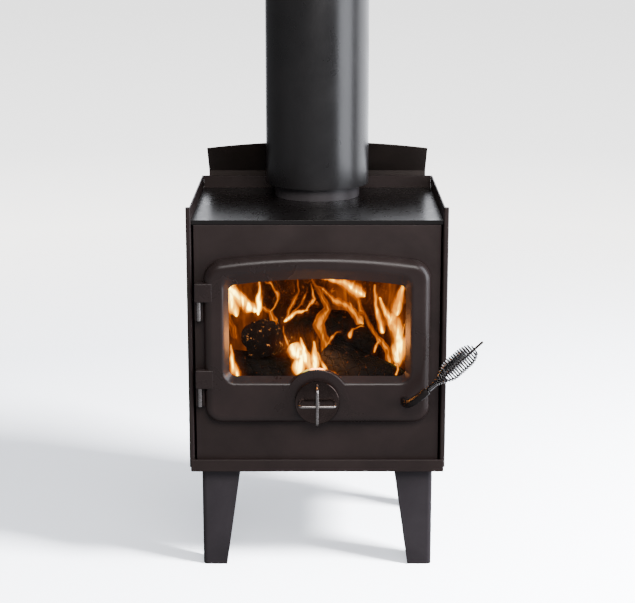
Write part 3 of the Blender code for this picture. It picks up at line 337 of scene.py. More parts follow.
# ---------------------------------------------------------------- finishes
@dataclass(frozen=True)
class StovePaint:
    """High-temperature paint over steel or iron, finely pebbled, with rubbed edges and dust."""

    name: str
    colour: Colour
    roughness: float
    grain: float = 1100.0
    grain_depth: float = 0.00012
    mottle: float = 0.18
    wear: float = 0.25
    wear_reach: float = 0.0004
    dust: float = 0.10
    specular: float = 0.5
    wear_colour: Colour = (0.16, 0.15, 0.15)
    dust_colour: Colour = (0.16, 0.15, 0.14)

    def build(self) -> bpy.types.Material:
        """Makes the material."""
        material, wire, shader = start_material(self.name)
        coat = use_group(wire, Effects.coat_grain(), Scale=self.grain, Mottle_Scale=8.0)
        wear = use_group(wire, Effects.edge_wear(), Radius=self.wear_reach, Break_Up=60.0)
        dust = use_group(wire, Effects.settled_dust(), Scale=45.0)
        light = tuple(min(1.0, part * (1 + self.mottle)) for part in self.colour)
        dark = tuple(part * (1 - self.mottle) for part in self.colour)
        colour = wire.blend(wire.spread(coat.outputs["Mottle"], 0.35, 0.65), dark, light)
        colour = wire.blend(wire.maths("MULTIPLY", coat.outputs["Speck"], 0.25), colour,
                            tuple(part * 2.2 for part in self.colour))
        colour = wire.blend(wire.maths("MULTIPLY", dust.outputs["Mask"], self.dust), colour,
                            self.dust_colour)
        colour = wire.blend(wire.maths("MULTIPLY", wear.outputs["Mask"], self.wear), colour,
                            self.wear_colour)
        wire.feed(shader.inputs["Base Color"], colour)
        rough = wire.spread(coat.outputs["Mottle"], 0.3, 0.7, self.roughness - 0.25 * self.mottle,
                            self.roughness + 0.3 * self.mottle)
        rough = wire.maths("SUBTRACT", rough, wire.maths("MULTIPLY", wear.outputs["Mask"], 0.12))
        rough = wire.maths("ADD", rough, wire.maths("MULTIPLY", dust.outputs["Mask"], 0.1))
        wire.feed(shader.inputs["Roughness"], rough)
        shader.inputs["Specular IOR Level"].default_value = self.specular
        bump = wire.add("Bump", {"Height": coat.outputs["Height"], "Distance": self.grain_depth,
                                 "Strength": 1.0})
        wire.feed(shader.inputs["Normal"], bump.outputs[0])
        return material


@dataclass(frozen=True)
class BareMetal:
    """Metal without paint: drawn wire, turned steel or blackened iron."""

    name: str
    colour: Colour
    roughness: float
    tarnish: Colour
    tarnish_share: float = 0.4
    draw: tuple[float, float, float] = (1.0, 1.0, 1.0)
    scratch_scale: float = 900.0

    def build(self) -> bpy.types.Material:
        """Makes the material."""
        material, wire, shader = start_material(self.name)
        where = wire.place(stretch=self.draw)
        scratch = wire.grain(where, self.scratch_scale, 2.0)
        cloud = wire.grain(wire.place(), 38.0, 5.0, 0.65, 0.5)
        stain = wire.maths("MULTIPLY", wire.spread(cloud, 0.38, 0.68), self.tarnish_share)
        wear = use_group(wire, Effects.edge_wear(), Radius=0.001, Break_Up=90.0)
        colour = wire.blend(stain, self.colour, self.tarnish)
        bright = tuple(min(1.0, part * 1.5) for part in self.colour)
        colour = wire.blend(wire.maths("MULTIPLY", wear.outputs["Mask"], 0.5), colour, bright)
        wire.feed(shader.inputs["Base Color"], colour)
        shader.inputs["Metallic"].default_value = 1.0
        wire.feed(shader.inputs["Roughness"], wire.spread(scratch, 0.3, 0.7, self.roughness - 0.06,
                                                          self.roughness + 0.1))
        bump = wire.add("Bump", {"Height": scratch, "Distance": 0.00003, "Strength": 0.8})
        wire.feed(shader.inputs["Normal"], bump.outputs[0])
        return material


@dataclass(frozen=True)
class Firebrick:
    """Pale insulating brick, sooted by the fire, pitted and slightly uneven."""

    name: str
    colour: Colour
    soot: Colour

    def build(self) -> bpy.types.Material:
        """Makes the material."""
        material, wire, shader = start_material(self.name)
        where = wire.place()
        cloud = wire.grain(where, 14.0, 6.0, 0.65, 0.6)
        pores = wire.add("TexVoronoi", {"Vector": where, "Scale": 260.0}).outputs[0]
        grit = wire.grain(where, 700.0, 3.0)
        colour = wire.blend(wire.spread(cloud, 0.3, 0.6), self.soot, self.colour)
        colour = wire.blend(wire.spread(pores, 0.22, 0.05, 0.0, 0.6), colour, self.soot)
        wire.feed(shader.inputs["Base Color"], colour)
        wire.feed(shader.inputs["Roughness"], wire.spread(grit, 0.3, 0.7, 0.82, 0.97))
        height = wire.maths("ADD", wire.maths("MULTIPLY", pores, 0.8), wire.maths("MULTIPLY", grit, 0.4))
        bump = wire.add("Bump", {"Height": height, "Distance": 0.0008, "Strength": 0.8})
        wire.feed(shader.inputs["Normal"], bump.outputs[0])
        return material


@dataclass(frozen=True)
class BraidedRope:
    """Grey glass-fibre rope or tape, with its plait and loose fibres."""

    name: str
    colour: Colour
    shadow: Colour

    def build(self) -> bpy.types.Material:
        """Makes the material."""
        material, wire, shader = start_material(self.name)
        one = wire.add("TexWave", {"Vector": wire.place(turn=(0.0, math.radians(45), 0.0)),
                                   "Scale": 90.0, "Distortion": 1.0, "Detail": 2.0})
        two = wire.add("TexWave", {"Vector": wire.place(turn=(0.0, math.radians(-45), 0.0)),
                                   "Scale": 90.0, "Distortion": 1.0, "Detail": 2.0})
        plait = wire.maths("MAXIMUM", one.outputs["Fac"], two.outputs["Fac"])
        fibre = wire.grain(wire.place(), 1500.0, 3.0, 0.7)
        colour = wire.blend(plait, self.shadow, self.colour)
        colour = wire.blend(wire.spread(fibre, 0.55, 0.75, 0.0, 0.5), colour,
                            tuple(part * 1.8 for part in self.colour))
        wire.feed(shader.inputs["Base Color"], colour)
        wire.feed(shader.inputs["Roughness"], wire.spread(fibre, 0.3, 0.7, 0.85, 0.98))
        bump = wire.add("Bump", {"Height": wire.maths("ADD", plait, wire.maths("MULTIPLY", fibre, 0.3)),
                                 "Distance": 0.0007, "Strength": 0.9})
        wire.feed(shader.inputs["Normal"], bump.outputs[0])
        return material


@dataclass(frozen=True)
class WindowGlass:
    """Clear ceramic glass with a faint smoke film that thickens in places."""

    name: str
    colour: Colour
    film: tuple[float, float] = (0.03, 0.12)

    def build(self) -> bpy.types.Material:
        """Makes the material."""
        material, wire, shader = start_material(self.name)
        cloud = wire.grain(wire.place(), 16.0, 5.0, 0.6, 0.8)
        streak = wire.grain(wire.place(stretch=(6.0, 1.0, 1.0)), 18.0, 4.0)
        smoke = wire.maths("MULTIPLY", cloud, streak)
        wire.feed(shader.inputs["Base Color"], wire.blend(cloud, self.colour,
                                                          tuple(part * 0.5 for part in self.colour)))
        wire.feed(shader.inputs["Alpha"], wire.spread(smoke, 0.15, 0.45, *self.film))
        wire.feed(shader.inputs["Roughness"], wire.spread(cloud, 0.3, 0.7, 0.04, 0.09))
        return material


@dataclass(frozen=True)
class CharredWood:
    """Burning wood: black, crazed charcoal with grey ash and embers glowing in its cracks."""

    name: str
    char: Colour
    ash: Colour
    ember: Colour
    glow: float
    crack_scale: float = 55.0
    ember_share: float = 0.5

    def build(self) -> bpy.types.Material:
        """Makes the material."""
        material, wire, shader = start_material(self.name)
        where = wire.place()
        shift = wire.add("TexNoise", {"Vector": where, "Scale": 30.0, "Detail": 3.0}).outputs["Color"]
        bent = wire.add("VectorMath", {0: where, 1: wire.add(
            "VectorMath", {0: shift, 1: (0.012, 0.012, 0.012)}, operation="MULTIPLY").outputs[0]},
            operation="ADD").outputs[0]
        cells = wire.add("TexVoronoi", {"Vector": bent, "Scale": self.crack_scale},
                         feature="DISTANCE_TO_EDGE").outputs[0]
        cloud = wire.grain(where, 12.0, 6.0, 0.65, 0.6)
        grit = wire.grain(where, 500.0, 4.0, 0.7)
        colour = wire.blend(wire.spread(cloud, 0.52, 0.72), self.char, self.ash)
        colour = wire.blend(wire.spread(grit, 0.6, 0.75, 0.0, 0.35), colour, self.ash)
        wire.feed(shader.inputs["Base Color"], colour)
        wire.feed(shader.inputs["Roughness"], wire.spread(grit, 0.3, 0.7, 0.6, 0.9))
        shader.inputs["Specular IOR Level"].default_value = 0.2
        line = wire.spread(cells, 0.07, 0.0)
        hot = wire.spread(wire.grain(where, 85.0, 4.0, 0.7), 0.68 - 0.2 * self.ember_share,
                          0.80 - 0.2 * self.ember_share)
        wire.feed(shader.inputs["Emission Color"],
                  wire.blend(wire.maths("MULTIPLY", line, hot), (0.0, 0.0, 0.0), self.ember))
        shader.inputs["Emission Strength"].default_value = self.glow
        height = wire.maths("SUBTRACT", wire.maths("MULTIPLY", grit, 0.3),
                            wire.maths("MULTIPLY", line, 1.0))
        bump = wire.add("Bump", {"Height": height, "Distance": 0.0015, "Strength": 0.9})
        wire.feed(shader.inputs["Normal"], bump.outputs[0])
        return material


@dataclass(frozen=True)
class Flame:
    """Luminous gas: its colour and cover follow the heat stored on the sheet."""

    name: str
    strength: float
    cover: float = 1.0

    def build(self) -> bpy.types.Material:
        """Makes the material."""
        material, wire, shader = start_material(self.name)
        heat = wire.add("Attribute", attribute_name="warmth").outputs["Fac"]
        streak = wire.grain(wire.place(stretch=(1.0, 1.0, 0.22)), 95.0, 3.0, 0.5, 0.8)
        heat = wire.maths("MULTIPLY", heat, wire.spread(streak, 0.32, 0.68, 0.66, 1.10))
        colour = wire.ramp(heat, [(0.0, (0.001, 0.0002, 0.0)), (0.18, (0.012, 0.0021, 0.0003)),
                                  (0.40, (0.066, 0.0125, 0.0002)), (0.62, (0.160, 0.050, 0.0003)),
                                  (0.80, (0.34, 0.150, 0.002)), (1.0, (1.0, 0.82, 0.16))])
        shader.inputs["Base Color"].default_value = (0.0, 0.0, 0.0, 1.0)
        shader.inputs["Specular IOR Level"].default_value = 0.0
        wire.feed(shader.inputs["Roughness"], wire.spread(streak, 0.0, 1.0, 0.9, 1.0))
        wire.feed(shader.inputs["Emission Color"], colour)
        shader.inputs["Emission Strength"].default_value = self.strength
        wire.feed(shader.inputs["Alpha"], wire.spread(heat, 0.04, 0.55, 0.0, self.cover))
        return material


@dataclass(frozen=True)
class StudioFloor:
    """A plain pale floor that melts into the backdrop with distance."""

    name: str
    colour: Colour
    lift: float
    near: float = 1.6
    far: float = 3.4

    def build(self) -> bpy.types.Material:
        """Makes the material."""
        material, wire, shader = start_material(self.name)
        where = wire.place()
        cloud = wire.grain(where, 3.0, 4.0)
        wire.feed(shader.inputs["Base Color"],
                  wire.blend(cloud, self.colour, tuple(part * 0.985 for part in self.colour)))
        wire.feed(shader.inputs["Roughness"], wire.spread(cloud, 0.3, 0.7, 0.55, 0.65))
        shader.inputs["Specular IOR Level"].default_value = 0.2
        shader.inputs["Emission Color"].default_value = (*self.colour, 1.0)
        shader.inputs["Emission Strength"].default_value = self.lift
        reach = wire.add("VectorMath", {0: where}, operation="LENGTH").outputs["Value"]
        wire.feed(shader.inputs["Alpha"], wire.spread(reach, self.far, self.near))
        return material


class Finishes:
    """Every finish of the stove and its fire, built when first used."""

    LIST = (
        StovePaint("stove_paint", (0.031, 0.0205, 0.019), 0.46, specular=0.32),
        # the legs' finish is the body paint made lighter and bluer: painted light bouncing up from the floor
        StovePaint("leg_paint_painted_floor_bounce", (0.045, 0.038, 0.043), 0.50, specular=0.32),
        StovePaint("cast_iron_paint", (0.031, 0.0200, 0.0185), 0.29, 800.0, 0.00009, specular=0.40),
        StovePaint("cook_plate_paint", (0.010, 0.008, 0.0075), 0.26, 1300.0, 0.000012, mottle=0.08,
                   wear=0.08, dust=0.0),
        # the shield's paint is lighter than the body paint, as painted light on its down-facing flange, which
        # the lamps leave in shade
        StovePaint("shield_paint", (0.040, 0.030, 0.026), 0.55, wear=0.08, dust=0.03, specular=0.3),
        StovePaint("flue_paint", (0.018, 0.017, 0.0175), 0.29, 1500.0, 0.00003, wear=0.08, dust=0.02),
        # the collar's finish is the flue paint made several times lighter: a painted reflection of the bright
        # surroundings
        StovePaint("collar_paint_painted_reflection", (0.068, 0.062, 0.065), 0.34, 1500.0, 0.00004, wear=0.10, dust=0.03),
        BareMetal("bright_wire", (0.42, 0.39, 0.38), 0.26, (0.20, 0.17, 0.155), 0.5),
        BareMetal("spring_wire", (0.085, 0.082, 0.083), 0.20, (0.035, 0.031, 0.030), 0.5),
        StovePaint("forged_black", (0.012, 0.0085, 0.0075), 0.42, 900.0, 0.00010, specular=0.32),
        BareMetal("dark_steel", (0.040, 0.031, 0.028), 0.36, (0.020, 0.014, 0.012), 0.6),
        BareMetal("turned_steel", (0.095, 0.068, 0.062), 0.22, (0.050, 0.036, 0.032), 0.6),
        BareMetal("plain_steel", (0.30, 0.29, 0.28), 0.38, (0.16, 0.12, 0.10), 0.5),
        Firebrick("firebrick", (0.13, 0.085, 0.05), (0.014, 0.010, 0.009)),
        BraidedRope("ceramic_rope", (0.10, 0.095, 0.09), (0.02, 0.02, 0.02)),
        WindowGlass("ceramic_glass", (0.03, 0.018, 0.012)),
        CharredWood("charred_log", (0.0011, 0.0015, 0.0017), (0.0045, 0.0062, 0.0068),
                    (1.0, 0.22, 0.02), 1.2, 62.0, 0.25),
        CharredWood("ember_end", (0.0040, 0.0024, 0.0020), (0.022, 0.013, 0.010),
                    (1.0, 0.36, 0.08), 7.0, 230.0, 0.42),
        Flame("flame_front", 14.0, 0.98),
        Flame("flame_middle", 14.0, 0.97),
        Flame("flame_back", 12.0, 1.0),
        StudioFloor("studio_floor", (0.83, 0.865, 0.93), 0.85),
    )
    _made: dict[str, bpy.types.Material] = {}

    @classmethod
    def get(cls, name: str) -> bpy.types.Material:
        """The material of a finish, by its name."""
        if name not in cls._made:
            finish = next(item for item in cls.LIST if item.name == name)
            cls._made[name] = finish.build()
        return cls._made[name]


# ---------------------------------------------------------------- shaping
def add_slab(working: bmesh.types.BMesh, low: Vector, high: Vector) -> list[bmesh.types.BMVert]:
    """Adds a box between two corners.

    Args:
        working: The mesh to add to.
        low: The lowest corner.
        high: The highest corner.

    Returns:
        The box's corners.
    """
    made = bmesh.ops.create_cube(working, size=1.0)
    bmesh.ops.scale(working, vec=high - low, verts=made["verts"])
    bmesh.ops.translate(working, vec=(low + high) / 2, verts=made["verts"])
    return made["verts"]


def round_edges(working: bmesh.types.BMesh, edges: list[bmesh.types.BMEdge], radius: float,
                segments: int = 3) -> None:
    """Rounds edges over to a radius."""
    bmesh.ops.bevel(working, geom=edges, offset=radius, segments=segments, affect="EDGES",
                    profile=0.5, material=-1, clamp_overlap=True)


def skin_rings(working: bmesh.types.BMesh, rings: list[list[Vector]],
               closed: bool = True) -> list[list[bmesh.types.BMEdge]]:
    """Grows a skin from one loop to the next, point for point.

    Args:
        working: The mesh to add to.
        rings: The loops' points, all of the same count, in order.
        closed: Whether the last loop is joined to the first.

    Returns:
        The edges of the first loop and of the last.
    """
    verts = [working.verts.new(point) for point in rings[0]]
    edges = [working.edges.new(pair) for pair in zip(verts, verts[1:] + verts[:1])]
    first, skin = list(edges), list(verts)
    for ring in rings[1:] + ([rings[0]] if closed else []):
        grown = bmesh.ops.extrude_edge_only(working, edges=edges)["geom"]
        fresh = {item for item in grown if isinstance(item, bmesh.types.BMVert)}
        verts = [next(edge.other_vert(vert) for edge in vert.link_edges
                      if edge.other_vert(vert) in fresh) for vert in verts]
        edges = [working.edges.get(pair) for pair in zip(verts, verts[1:] + verts[:1])]
        for vert, point in zip(verts, ring):
            vert.co = point
        skin += verts
    if closed:
        bmesh.ops.remove_doubles(working, verts=skin, dist=0.000002)
        return [[], []]
    return [first, edges]


def add_turned(working: bmesh.types.BMesh, profile: list[tuple[float, float]], place: Vector,
               facing: Facing = Facing.UP, closed: bool = True, steps: int = 96) -> None:
    """Turns a half profile about an axis.

    Args:
        working: The mesh to add to.
        profile: Points as radius and height.
        place: Where the axis's foot stands.
        facing: Which way the axis points.
        closed: Whether the profile's last point joins its first.
        steps: How many steps the turn has.
    """
    verts = [working.verts.new((radius, 0.0, height)) for radius, height in profile]
    pairs = list(zip(verts, verts[1:]))
    if closed:
        pairs.append((verts[-1], verts[0]))
    edges = [working.edges.new(pair) for pair in pairs]
    before = set(working.verts) - set(verts)
    bmesh.ops.spin(working, geom=verts + edges, cent=(0, 0, 0), axis=(0, 0, 1), dvec=(0, 0, 0),
                   angle=2 * math.pi, steps=steps, use_merge=True, use_duplicate=False)
    made = [vert for vert in working.verts if vert not in before]
    bmesh.ops.remove_doubles(working, verts=made, dist=0.00001)
    made = [vert for vert in working.verts if vert not in before]
    bmesh.ops.transform(working, matrix=Matrix.Translation(place) @ facing.matrix(), verts=made)


def rounded_profile(corners: list[tuple[float, float, float]], steps: int = 5) -> list[tuple[float, float]]:
    """A profile whose corners (radius, height, rounding) are rounded off along curves between their edges.

    Args:
        corners: The profile's corners in order.
        steps: How many pieces an arc has.

    Returns:
        The rounded profile's points in order.
    """
    points: list[tuple[float, float]] = []
    count = len(corners)
    for index, (x, y, rounding) in enumerate(corners):
        if rounding == 0.0:
            points.append((x, y))
            continue
        here = Vector((x, y))
        back = (Vector(corners[index - 1][:2]) - here).normalized()
        ahead = (Vector(corners[(index + 1) % count][:2]) - here).normalized()
        for step in range(steps + 1):
            share = step / steps
            control = here + back * rounding * (1 - share) ** 2 + ahead * rounding * share ** 2
            points.append(tuple(control))
    return points


def finish_piece(working: bmesh.types.BMesh, name: str, finish: str, sharp: float = 32.0,
                 flat_faces: bool = True) -> bpy.types.Object:
    """Closes a mesh and makes it a piece with its finish.

    Args:
        working: The mesh, which is used up.
        name: The piece's name.
        finish: The name of its finish.
        sharp: The angle past which an edge stays sharp, in degrees.
        flat_faces: Whether broad flat faces are shaded flat between rounded edges.

    Returns:
        The piece.
    """
    bmesh.ops.remove_doubles(working, verts=working.verts, dist=0.000002)
    bmesh.ops.recalc_face_normals(working, faces=working.faces)
    mesh = bpy.data.meshes.new(name)
    working.to_mesh(mesh)
    working.free()
    mesh.shade_smooth()
    mesh.set_sharp_from_angle(angle=math.radians(sharp))
    mesh.materials.append(Finishes.get(finish))
    piece = bpy.data.objects.new(name, mesh)
    bpy.context.scene.collection.objects.link(piece)
    if flat_faces:
        weighted = piece.modifiers.new("flat_faces", "WEIGHTED_NORMAL")
        weighted.keep_sharp = True
    return piece


def softened(node: str, radius: float, segments: int = 2, sharp: float = 25.0) -> bmesh.types.BMesh:
    """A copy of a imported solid, merged, cleaned and with its edges rounded over.

    Args:
        node: The solid's name.
        radius: The edges' rounding.
        segments: How many faces the rounding has.
        sharp: The angle past which an edge is rounded, in degrees.

    Returns:
        The mesh.
    """
    working = bmesh.new()
    working.from_mesh(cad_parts[node].data)
    bmesh.ops.remove_doubles(working, verts=working.verts, dist=0.00001)
    bmesh.ops.dissolve_limit(working, angle_limit=math.radians(0.6), verts=working.verts,
                             edges=working.edges)
    edges = [edge for edge in working.edges
             if len(edge.link_faces) == 2 and edge.calc_face_angle(0.0) > math.radians(sharp)]
    round_edges(working, edges, radius, segments)
    return working


def solid_tool(working: bmesh.types.BMesh, name: str) -> bpy.types.Object:
    """Makes a mesh an object that cuts or joins another, and is then removed."""
    bmesh.ops.recalc_face_normals(working, faces=working.faces)
    mesh = bpy.data.meshes.new(name)
    working.to_mesh(mesh)
    working.free()
    tool = bpy.data.objects.new(name, mesh)
    bpy.context.scene.collection.objects.link(tool)
    return tool


def worked(piece: bmesh.types.BMesh, tool: bmesh.types.BMesh, operation: str) -> bmesh.types.BMesh:
    """The result of a Boolean between two closed meshes.

    Args:
        piece: The mesh that is cut or joined, which is used up.
        tool: The other mesh, which is used up.
        operation: UNION or DIFFERENCE.

    Returns:
        The new mesh.
    """
    target = solid_tool(piece, "worked_piece")
    other = solid_tool(tool, "worked_tool")
    modifier = target.modifiers.new("work", "BOOLEAN")
    modifier.operation = operation
    modifier.object = other
    modifier.solver = "EXACT"
    bpy.context.view_layer.update()
    evaluated = target.evaluated_get(bpy.context.evaluated_depsgraph_get())
    result = bmesh.new()
    result.from_mesh(evaluated.data)
    bmesh.ops.remove_doubles(result, verts=result.verts, dist=0.00001)
    bmesh.ops.dissolve_degenerate(result, edges=result.edges, dist=0.00001)
    for item in (target, other):
        mesh = item.data
        bpy.data.objects.remove(item, do_unlink=True)
        bpy.data.meshes.remove(mesh)
    return result


def swept(name: str, points: list[Vector], radius: float, detail: int, finish: str,
          taper: list[float] | None = None) -> bpy.types.Object:
    """A round bar or wire along points, with closed ends.

    Args:
        name: The piece's name.
        points: The centre line.
        radius: The bar's radius.
        detail: The roundness of its section.
        finish: The name of its finish.
        taper: A share of the radius at each point, if it isn't the same throughout.

    Returns:
        The piece.
    """
    curve = bpy.data.curves.new(name, "CURVE")
    curve.dimensions = "3D"
    curve.bevel_depth = radius
    curve.bevel_resolution = detail
    curve.use_fill_caps = True
    spline = curve.splines.new("POLY")
    spline.points.add(len(points) - 1)
    for index, (point, position) in enumerate(zip(spline.points, points)):
        point.co = (*position, 1.0)
        point.radius = taper[index] if taper else 1.0
    guide = bpy.data.objects.new(name + "_line", curve)
    bpy.context.scene.collection.objects.link(guide)
    bpy.context.view_layer.update()
    mesh = bpy.data.meshes.new_from_object(guide.evaluated_get(bpy.context.evaluated_depsgraph_get()))
    bpy.data.objects.remove(guide, do_unlink=True)
    bpy.data.curves.remove(curve)
    working = bmesh.new()
    working.from_mesh(mesh)
    bpy.data.meshes.remove(mesh)
    bmesh.ops.remove_doubles(working, verts=working.verts, dist=0.00001)
    return finish_piece(working, name, finish, 50.0, flat_faces=False)


def settle(piece: bpy.types.Object, part: Part, slot: Slot, *nodes: str) -> bpy.types.Object:
    """Puts a piece on its moving body, hides the solids that it stands for, and reports it.

    Args:
        piece: The piece.
        part: The body that it moves with.
        slot: The material slot that it takes its finish from; not used.
        nodes: The solids that it stands for.

    Returns:
        The piece.
    """
    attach(piece, part.value)
    if nodes:
        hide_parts(*nodes)
    LOG.info("%s rides on %s, for %s", piece.name, part.value, ", ".join(nodes) or "itself")
    return piece


def dress_node(node: str, finish: str) -> None:
    """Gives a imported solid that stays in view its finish."""
    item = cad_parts[node]
    item.data.materials.clear()
    item.data.materials.append(Finishes.get(finish))
    LOG.info("%s keeps its solid", node)


# ---------------------------------------------------------------- outlines
@dataclass(frozen=True)
class ArchedOutline:
    """A door-shaped outline: straight foot and sides, bowed head and rounded corners."""

    half_width: float
    bottom: float
    crown: float
    arch: float
    corner: float
    corner_steps: int = 8
    head_cuts: int = 23

    def moved_in(self, side: float, bottom: float | None = None, top: float | None = None,
                 corner: float | None = None) -> "ArchedOutline":
        """The outline with its edges moved in.

        Args:
            side: How far the sides move, and the foot and head too unless given.
            bottom: How far the foot moves.
            top: How far the head moves.
            corner: The new corner radius, if it doesn't shrink with the sides.

        Returns:
            The new outline.
        """
        return replace(self, half_width=self.half_width - side,
                       bottom=self.bottom + (side if bottom is None else bottom),
                       crown=self.crown - (side if top is None else top),
                       corner=max(0.0005, self.corner - side if corner is None else corner))

    def points(self, datum: Datum, depth: float) -> list[Vector]:
        """The outline's points, anticlockwise from the front.

        Args:
            datum: The stove's places.
            depth: How far behind the front of the side panels the outline lies.

        Returns:
            The points in order.
        """
        shape = bmesh.new()
        head = self.crown - self.arch
        corners = ((-self.half_width, self.bottom), (self.half_width, self.bottom),
                   (self.half_width, head), (-self.half_width, head))
        verts = [shape.verts.new((x, 0.0, z)) for x, z in corners]
        shape.faces.new(verts)
        bmesh.ops.bevel(shape, geom=verts, offset=self.corner, segments=self.corner_steps,
                        affect="VERTICES", profile=0.5, material=-1)
        straight = [edge for edge in shape.edges
                    if all(abs(vert.co.z - head) < 1e-6 for vert in edge.verts)]
        longest = max(straight, key=lambda edge: edge.calc_length())
        bmesh.ops.subdivide_edges(shape, edges=[longest], cuts=self.head_cuts)
        shape.faces.ensure_lookup_table()
        found = []
        for loop in shape.faces[0].loops:
            x, z = loop.vert.co.x, loop.vert.co.z
            if z > (self.bottom + head) / 2:
                z += self.arch * (1 - (x / self.half_width) ** 2)
            found.append(datum.at(x, depth, z))
        shape.free()
        return found


# ---------------------------------------------------------------- body
@dataclass
class Body:
    """The welded steel carcass: plates, rolled side panels and front lip."""

    datum: Datum
    sheet: float = 0.003
    bead_width: float = 0.0095
    bead_proud: float = 0.0064
    bead_depth: float = 0.010
    bead_round: float = 0.0032
    opening: ArchedOutline | None = None
    edge: float = 0.0006

    def build(self) -> None:
        """Builds every plate of the body."""
        for name in ("left", "right"):
            self.side_panel(name)
        self.front_lip()
        for node, radius in (("front_plate", 0.0012), ("back_plate", 0.0008), ("base_plate", 0.0008)):
            piece = finish_piece(softened(node, radius), node + "_rounded", "stove_paint")
            settle(piece, Part.STOVE, Slot.STOVE_PAINT, node)
        piece = finish_piece(softened("cook_plate", 0.0014, 3), "cook_plate_rounded", "cook_plate_paint")
        settle(piece, Part.STOVE, Slot.COOK_PLATE, "cook_plate")

    def side_panel(self, name: str) -> None:
        """A side panel with its rolled front edge."""
        node = "side_panel_" + name
        low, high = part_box(node)
        side = -1 if name == "left" else 1
        outer = high.x if side > 0 else low.x
        plate_outer = outer - side * self.bead_proud
        plate_inner = plate_outer - side * self.sheet
        bead_inner = outer - side * self.bead_width
        rear = high.y
        behind_bead = low.y + self.bead_depth
        corners = [(bead_inner, low.y), (outer, low.y), (outer, behind_bead),
                   (plate_outer, behind_bead), (plate_outer, rear), (plate_inner, rear),
                   (plate_inner, behind_bead), (bead_inner, behind_bead - self.bead_round)]
        working = bmesh.new()
        verts = [working.verts.new((x, y, low.z)) for x, y in corners]
        working.faces.new(verts)
        bmesh.ops.bevel(working, geom=verts[:3], offset=self.bead_round, segments=8,
                        affect="VERTICES", profile=0.5, material=-1)
        face = working.faces[:]
        grown = bmesh.ops.extrude_face_region(working, geom=face)
        top = [item for item in grown["geom"] if isinstance(item, bmesh.types.BMVert)]
        bmesh.ops.translate(working, vec=(0, 0, high.z - low.z), verts=top)
        rims = [edge for edge in working.edges
                if all(abs(vert.co.z - high.z) < 1e-6 for vert in edge.verts)]
        round_edges(working, rims, self.edge, 2)
        settle(finish_piece(working, node + "_rolled", "stove_paint"), Part.STOVE,
               Slot.STOVE_PAINT, node)

    def front_lip(self) -> None:
        """The plate across the foot of the front, with well rounded edges."""
        low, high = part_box("front_lip")
        working = bmesh.new()
        add_slab(working, low, high)
        round_edges(working, working.edges[:], 0.0017, 5)
        settle(finish_piece(working, "front_lip_rounded", "stove_paint"), Part.STOVE,
               Slot.STOVE_PAINT, "front_lip")


@dataclass
class Lining:
    """Bricks, inner walls and baffle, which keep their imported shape."""

    bricks: tuple[str, ...] = ("hearth_brick", "back_brick", "side_brick_left", "side_brick_right")
    steel: tuple[str, ...] = ("firebox_wall_left", "firebox_wall_right", "firebox_floor",
                              "baffle_plate", "log_bar", "latch_keeper")

    def build(self) -> None:
        """Rounds and dresses the lining."""
        for node in self.bricks:
            piece = finish_piece(softened(node, 0.0025, 3), node + "_worn", "firebrick")
            settle(piece, Part.STOVE, Slot.FIREBRICK, node)
        for node in self.steel:
            piece = finish_piece(softened(node, 0.0008), node + "_eased", "dark_steel")
            settle(piece, Part.STOVE, Slot.DARK_STEEL, node)


@dataclass
class Legs:
    """Four angle-section legs and the bolts that hold them."""

    edge: float = 0.0007
    head_radius: float = 0.0075
    head_height: float = 0.0055
    washer: float = 0.0006

    def build(self) -> None:
        """Builds the legs and their bolts."""
        for corner in ("front_left", "front_right", "rear_left", "rear_right"):
            node = "leg_" + corner
            # the legs take the lighter copy of the body paint, which paints in light bouncing up from the
            # floor
            piece = finish_piece(softened(node, self.edge, 2), node + "_folded", "leg_paint_painted_floor_bounce")
            settle(piece, Part.STOVE, Slot.STOVE_PAINT, node)
            bolt = "leg_bolt_" + corner
            piece = finish_piece(softened(bolt, 0.0005, 2, 40.0), bolt + "_machined", "plain_steel")
            settle(piece, Part.STOVE, Slot.PLAIN_STEEL, bolt)


# ---------------------------------------------------------------- flue and shield
@dataclass
class Flue:
    """Flue pipe in its collar, inside a ventilated casing."""

    datum: Datum
    roll: float = 0.0012
    seam_width: float = 0.006
    seam_proud: float = 0.0005

    def tube(self, node: str, wall: float, finish: str, rounding: float) -> bpy.types.Object:
        """A tube with rolled ends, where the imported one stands.

        Args:
            node: The solid that it stands for.
            wall: The tube's wall.
            finish: The name of its finish.
            rounding: The rounding of its ends.

        Returns:
            The piece.
        """
        low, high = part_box(node)
        radius = (high.x - low.x) / 2
        height = high.z - low.z
        inner = radius - wall
        profile = rounded_profile([(radius, height, rounding), (radius, 0.0, rounding),
                                   (inner, 0.0, rounding * 0.4), (inner, height, rounding * 0.4)])
        working = bmesh.new()
        place = Vector((self.datum.flue.x, self.datum.flue.y, low.z))
        add_turned(working, profile, place, steps=128)
        return finish_piece(working, node + "_rolled", finish)

    def build(self) -> None:
        """Builds the tubes and dresses the spacers."""
        for node, wall, rounding in (("flue_casing", 0.0012, 0.0005), ("flue_pipe", 0.0015, 0.0006),
                                     ("flue_collar", 0.0063, 0.0015)):
            # the collar takes the lighter copy of the flue paint, which paints in reflected light
            finish = "collar_paint_painted_reflection" if node == "flue_collar" else "flue_paint"
            settle(self.tube(node, wall, finish, rounding), Part.STOVE, Slot.FLUE, node)
        for index in (1, 2, 3):
            node = "casing_spacer_" + str(index)
            piece = finish_piece(softened(node, 0.0012, 3), node + "_eased", "plain_steel")
            settle(piece, Part.STOVE, Slot.PLAIN_STEEL, node)


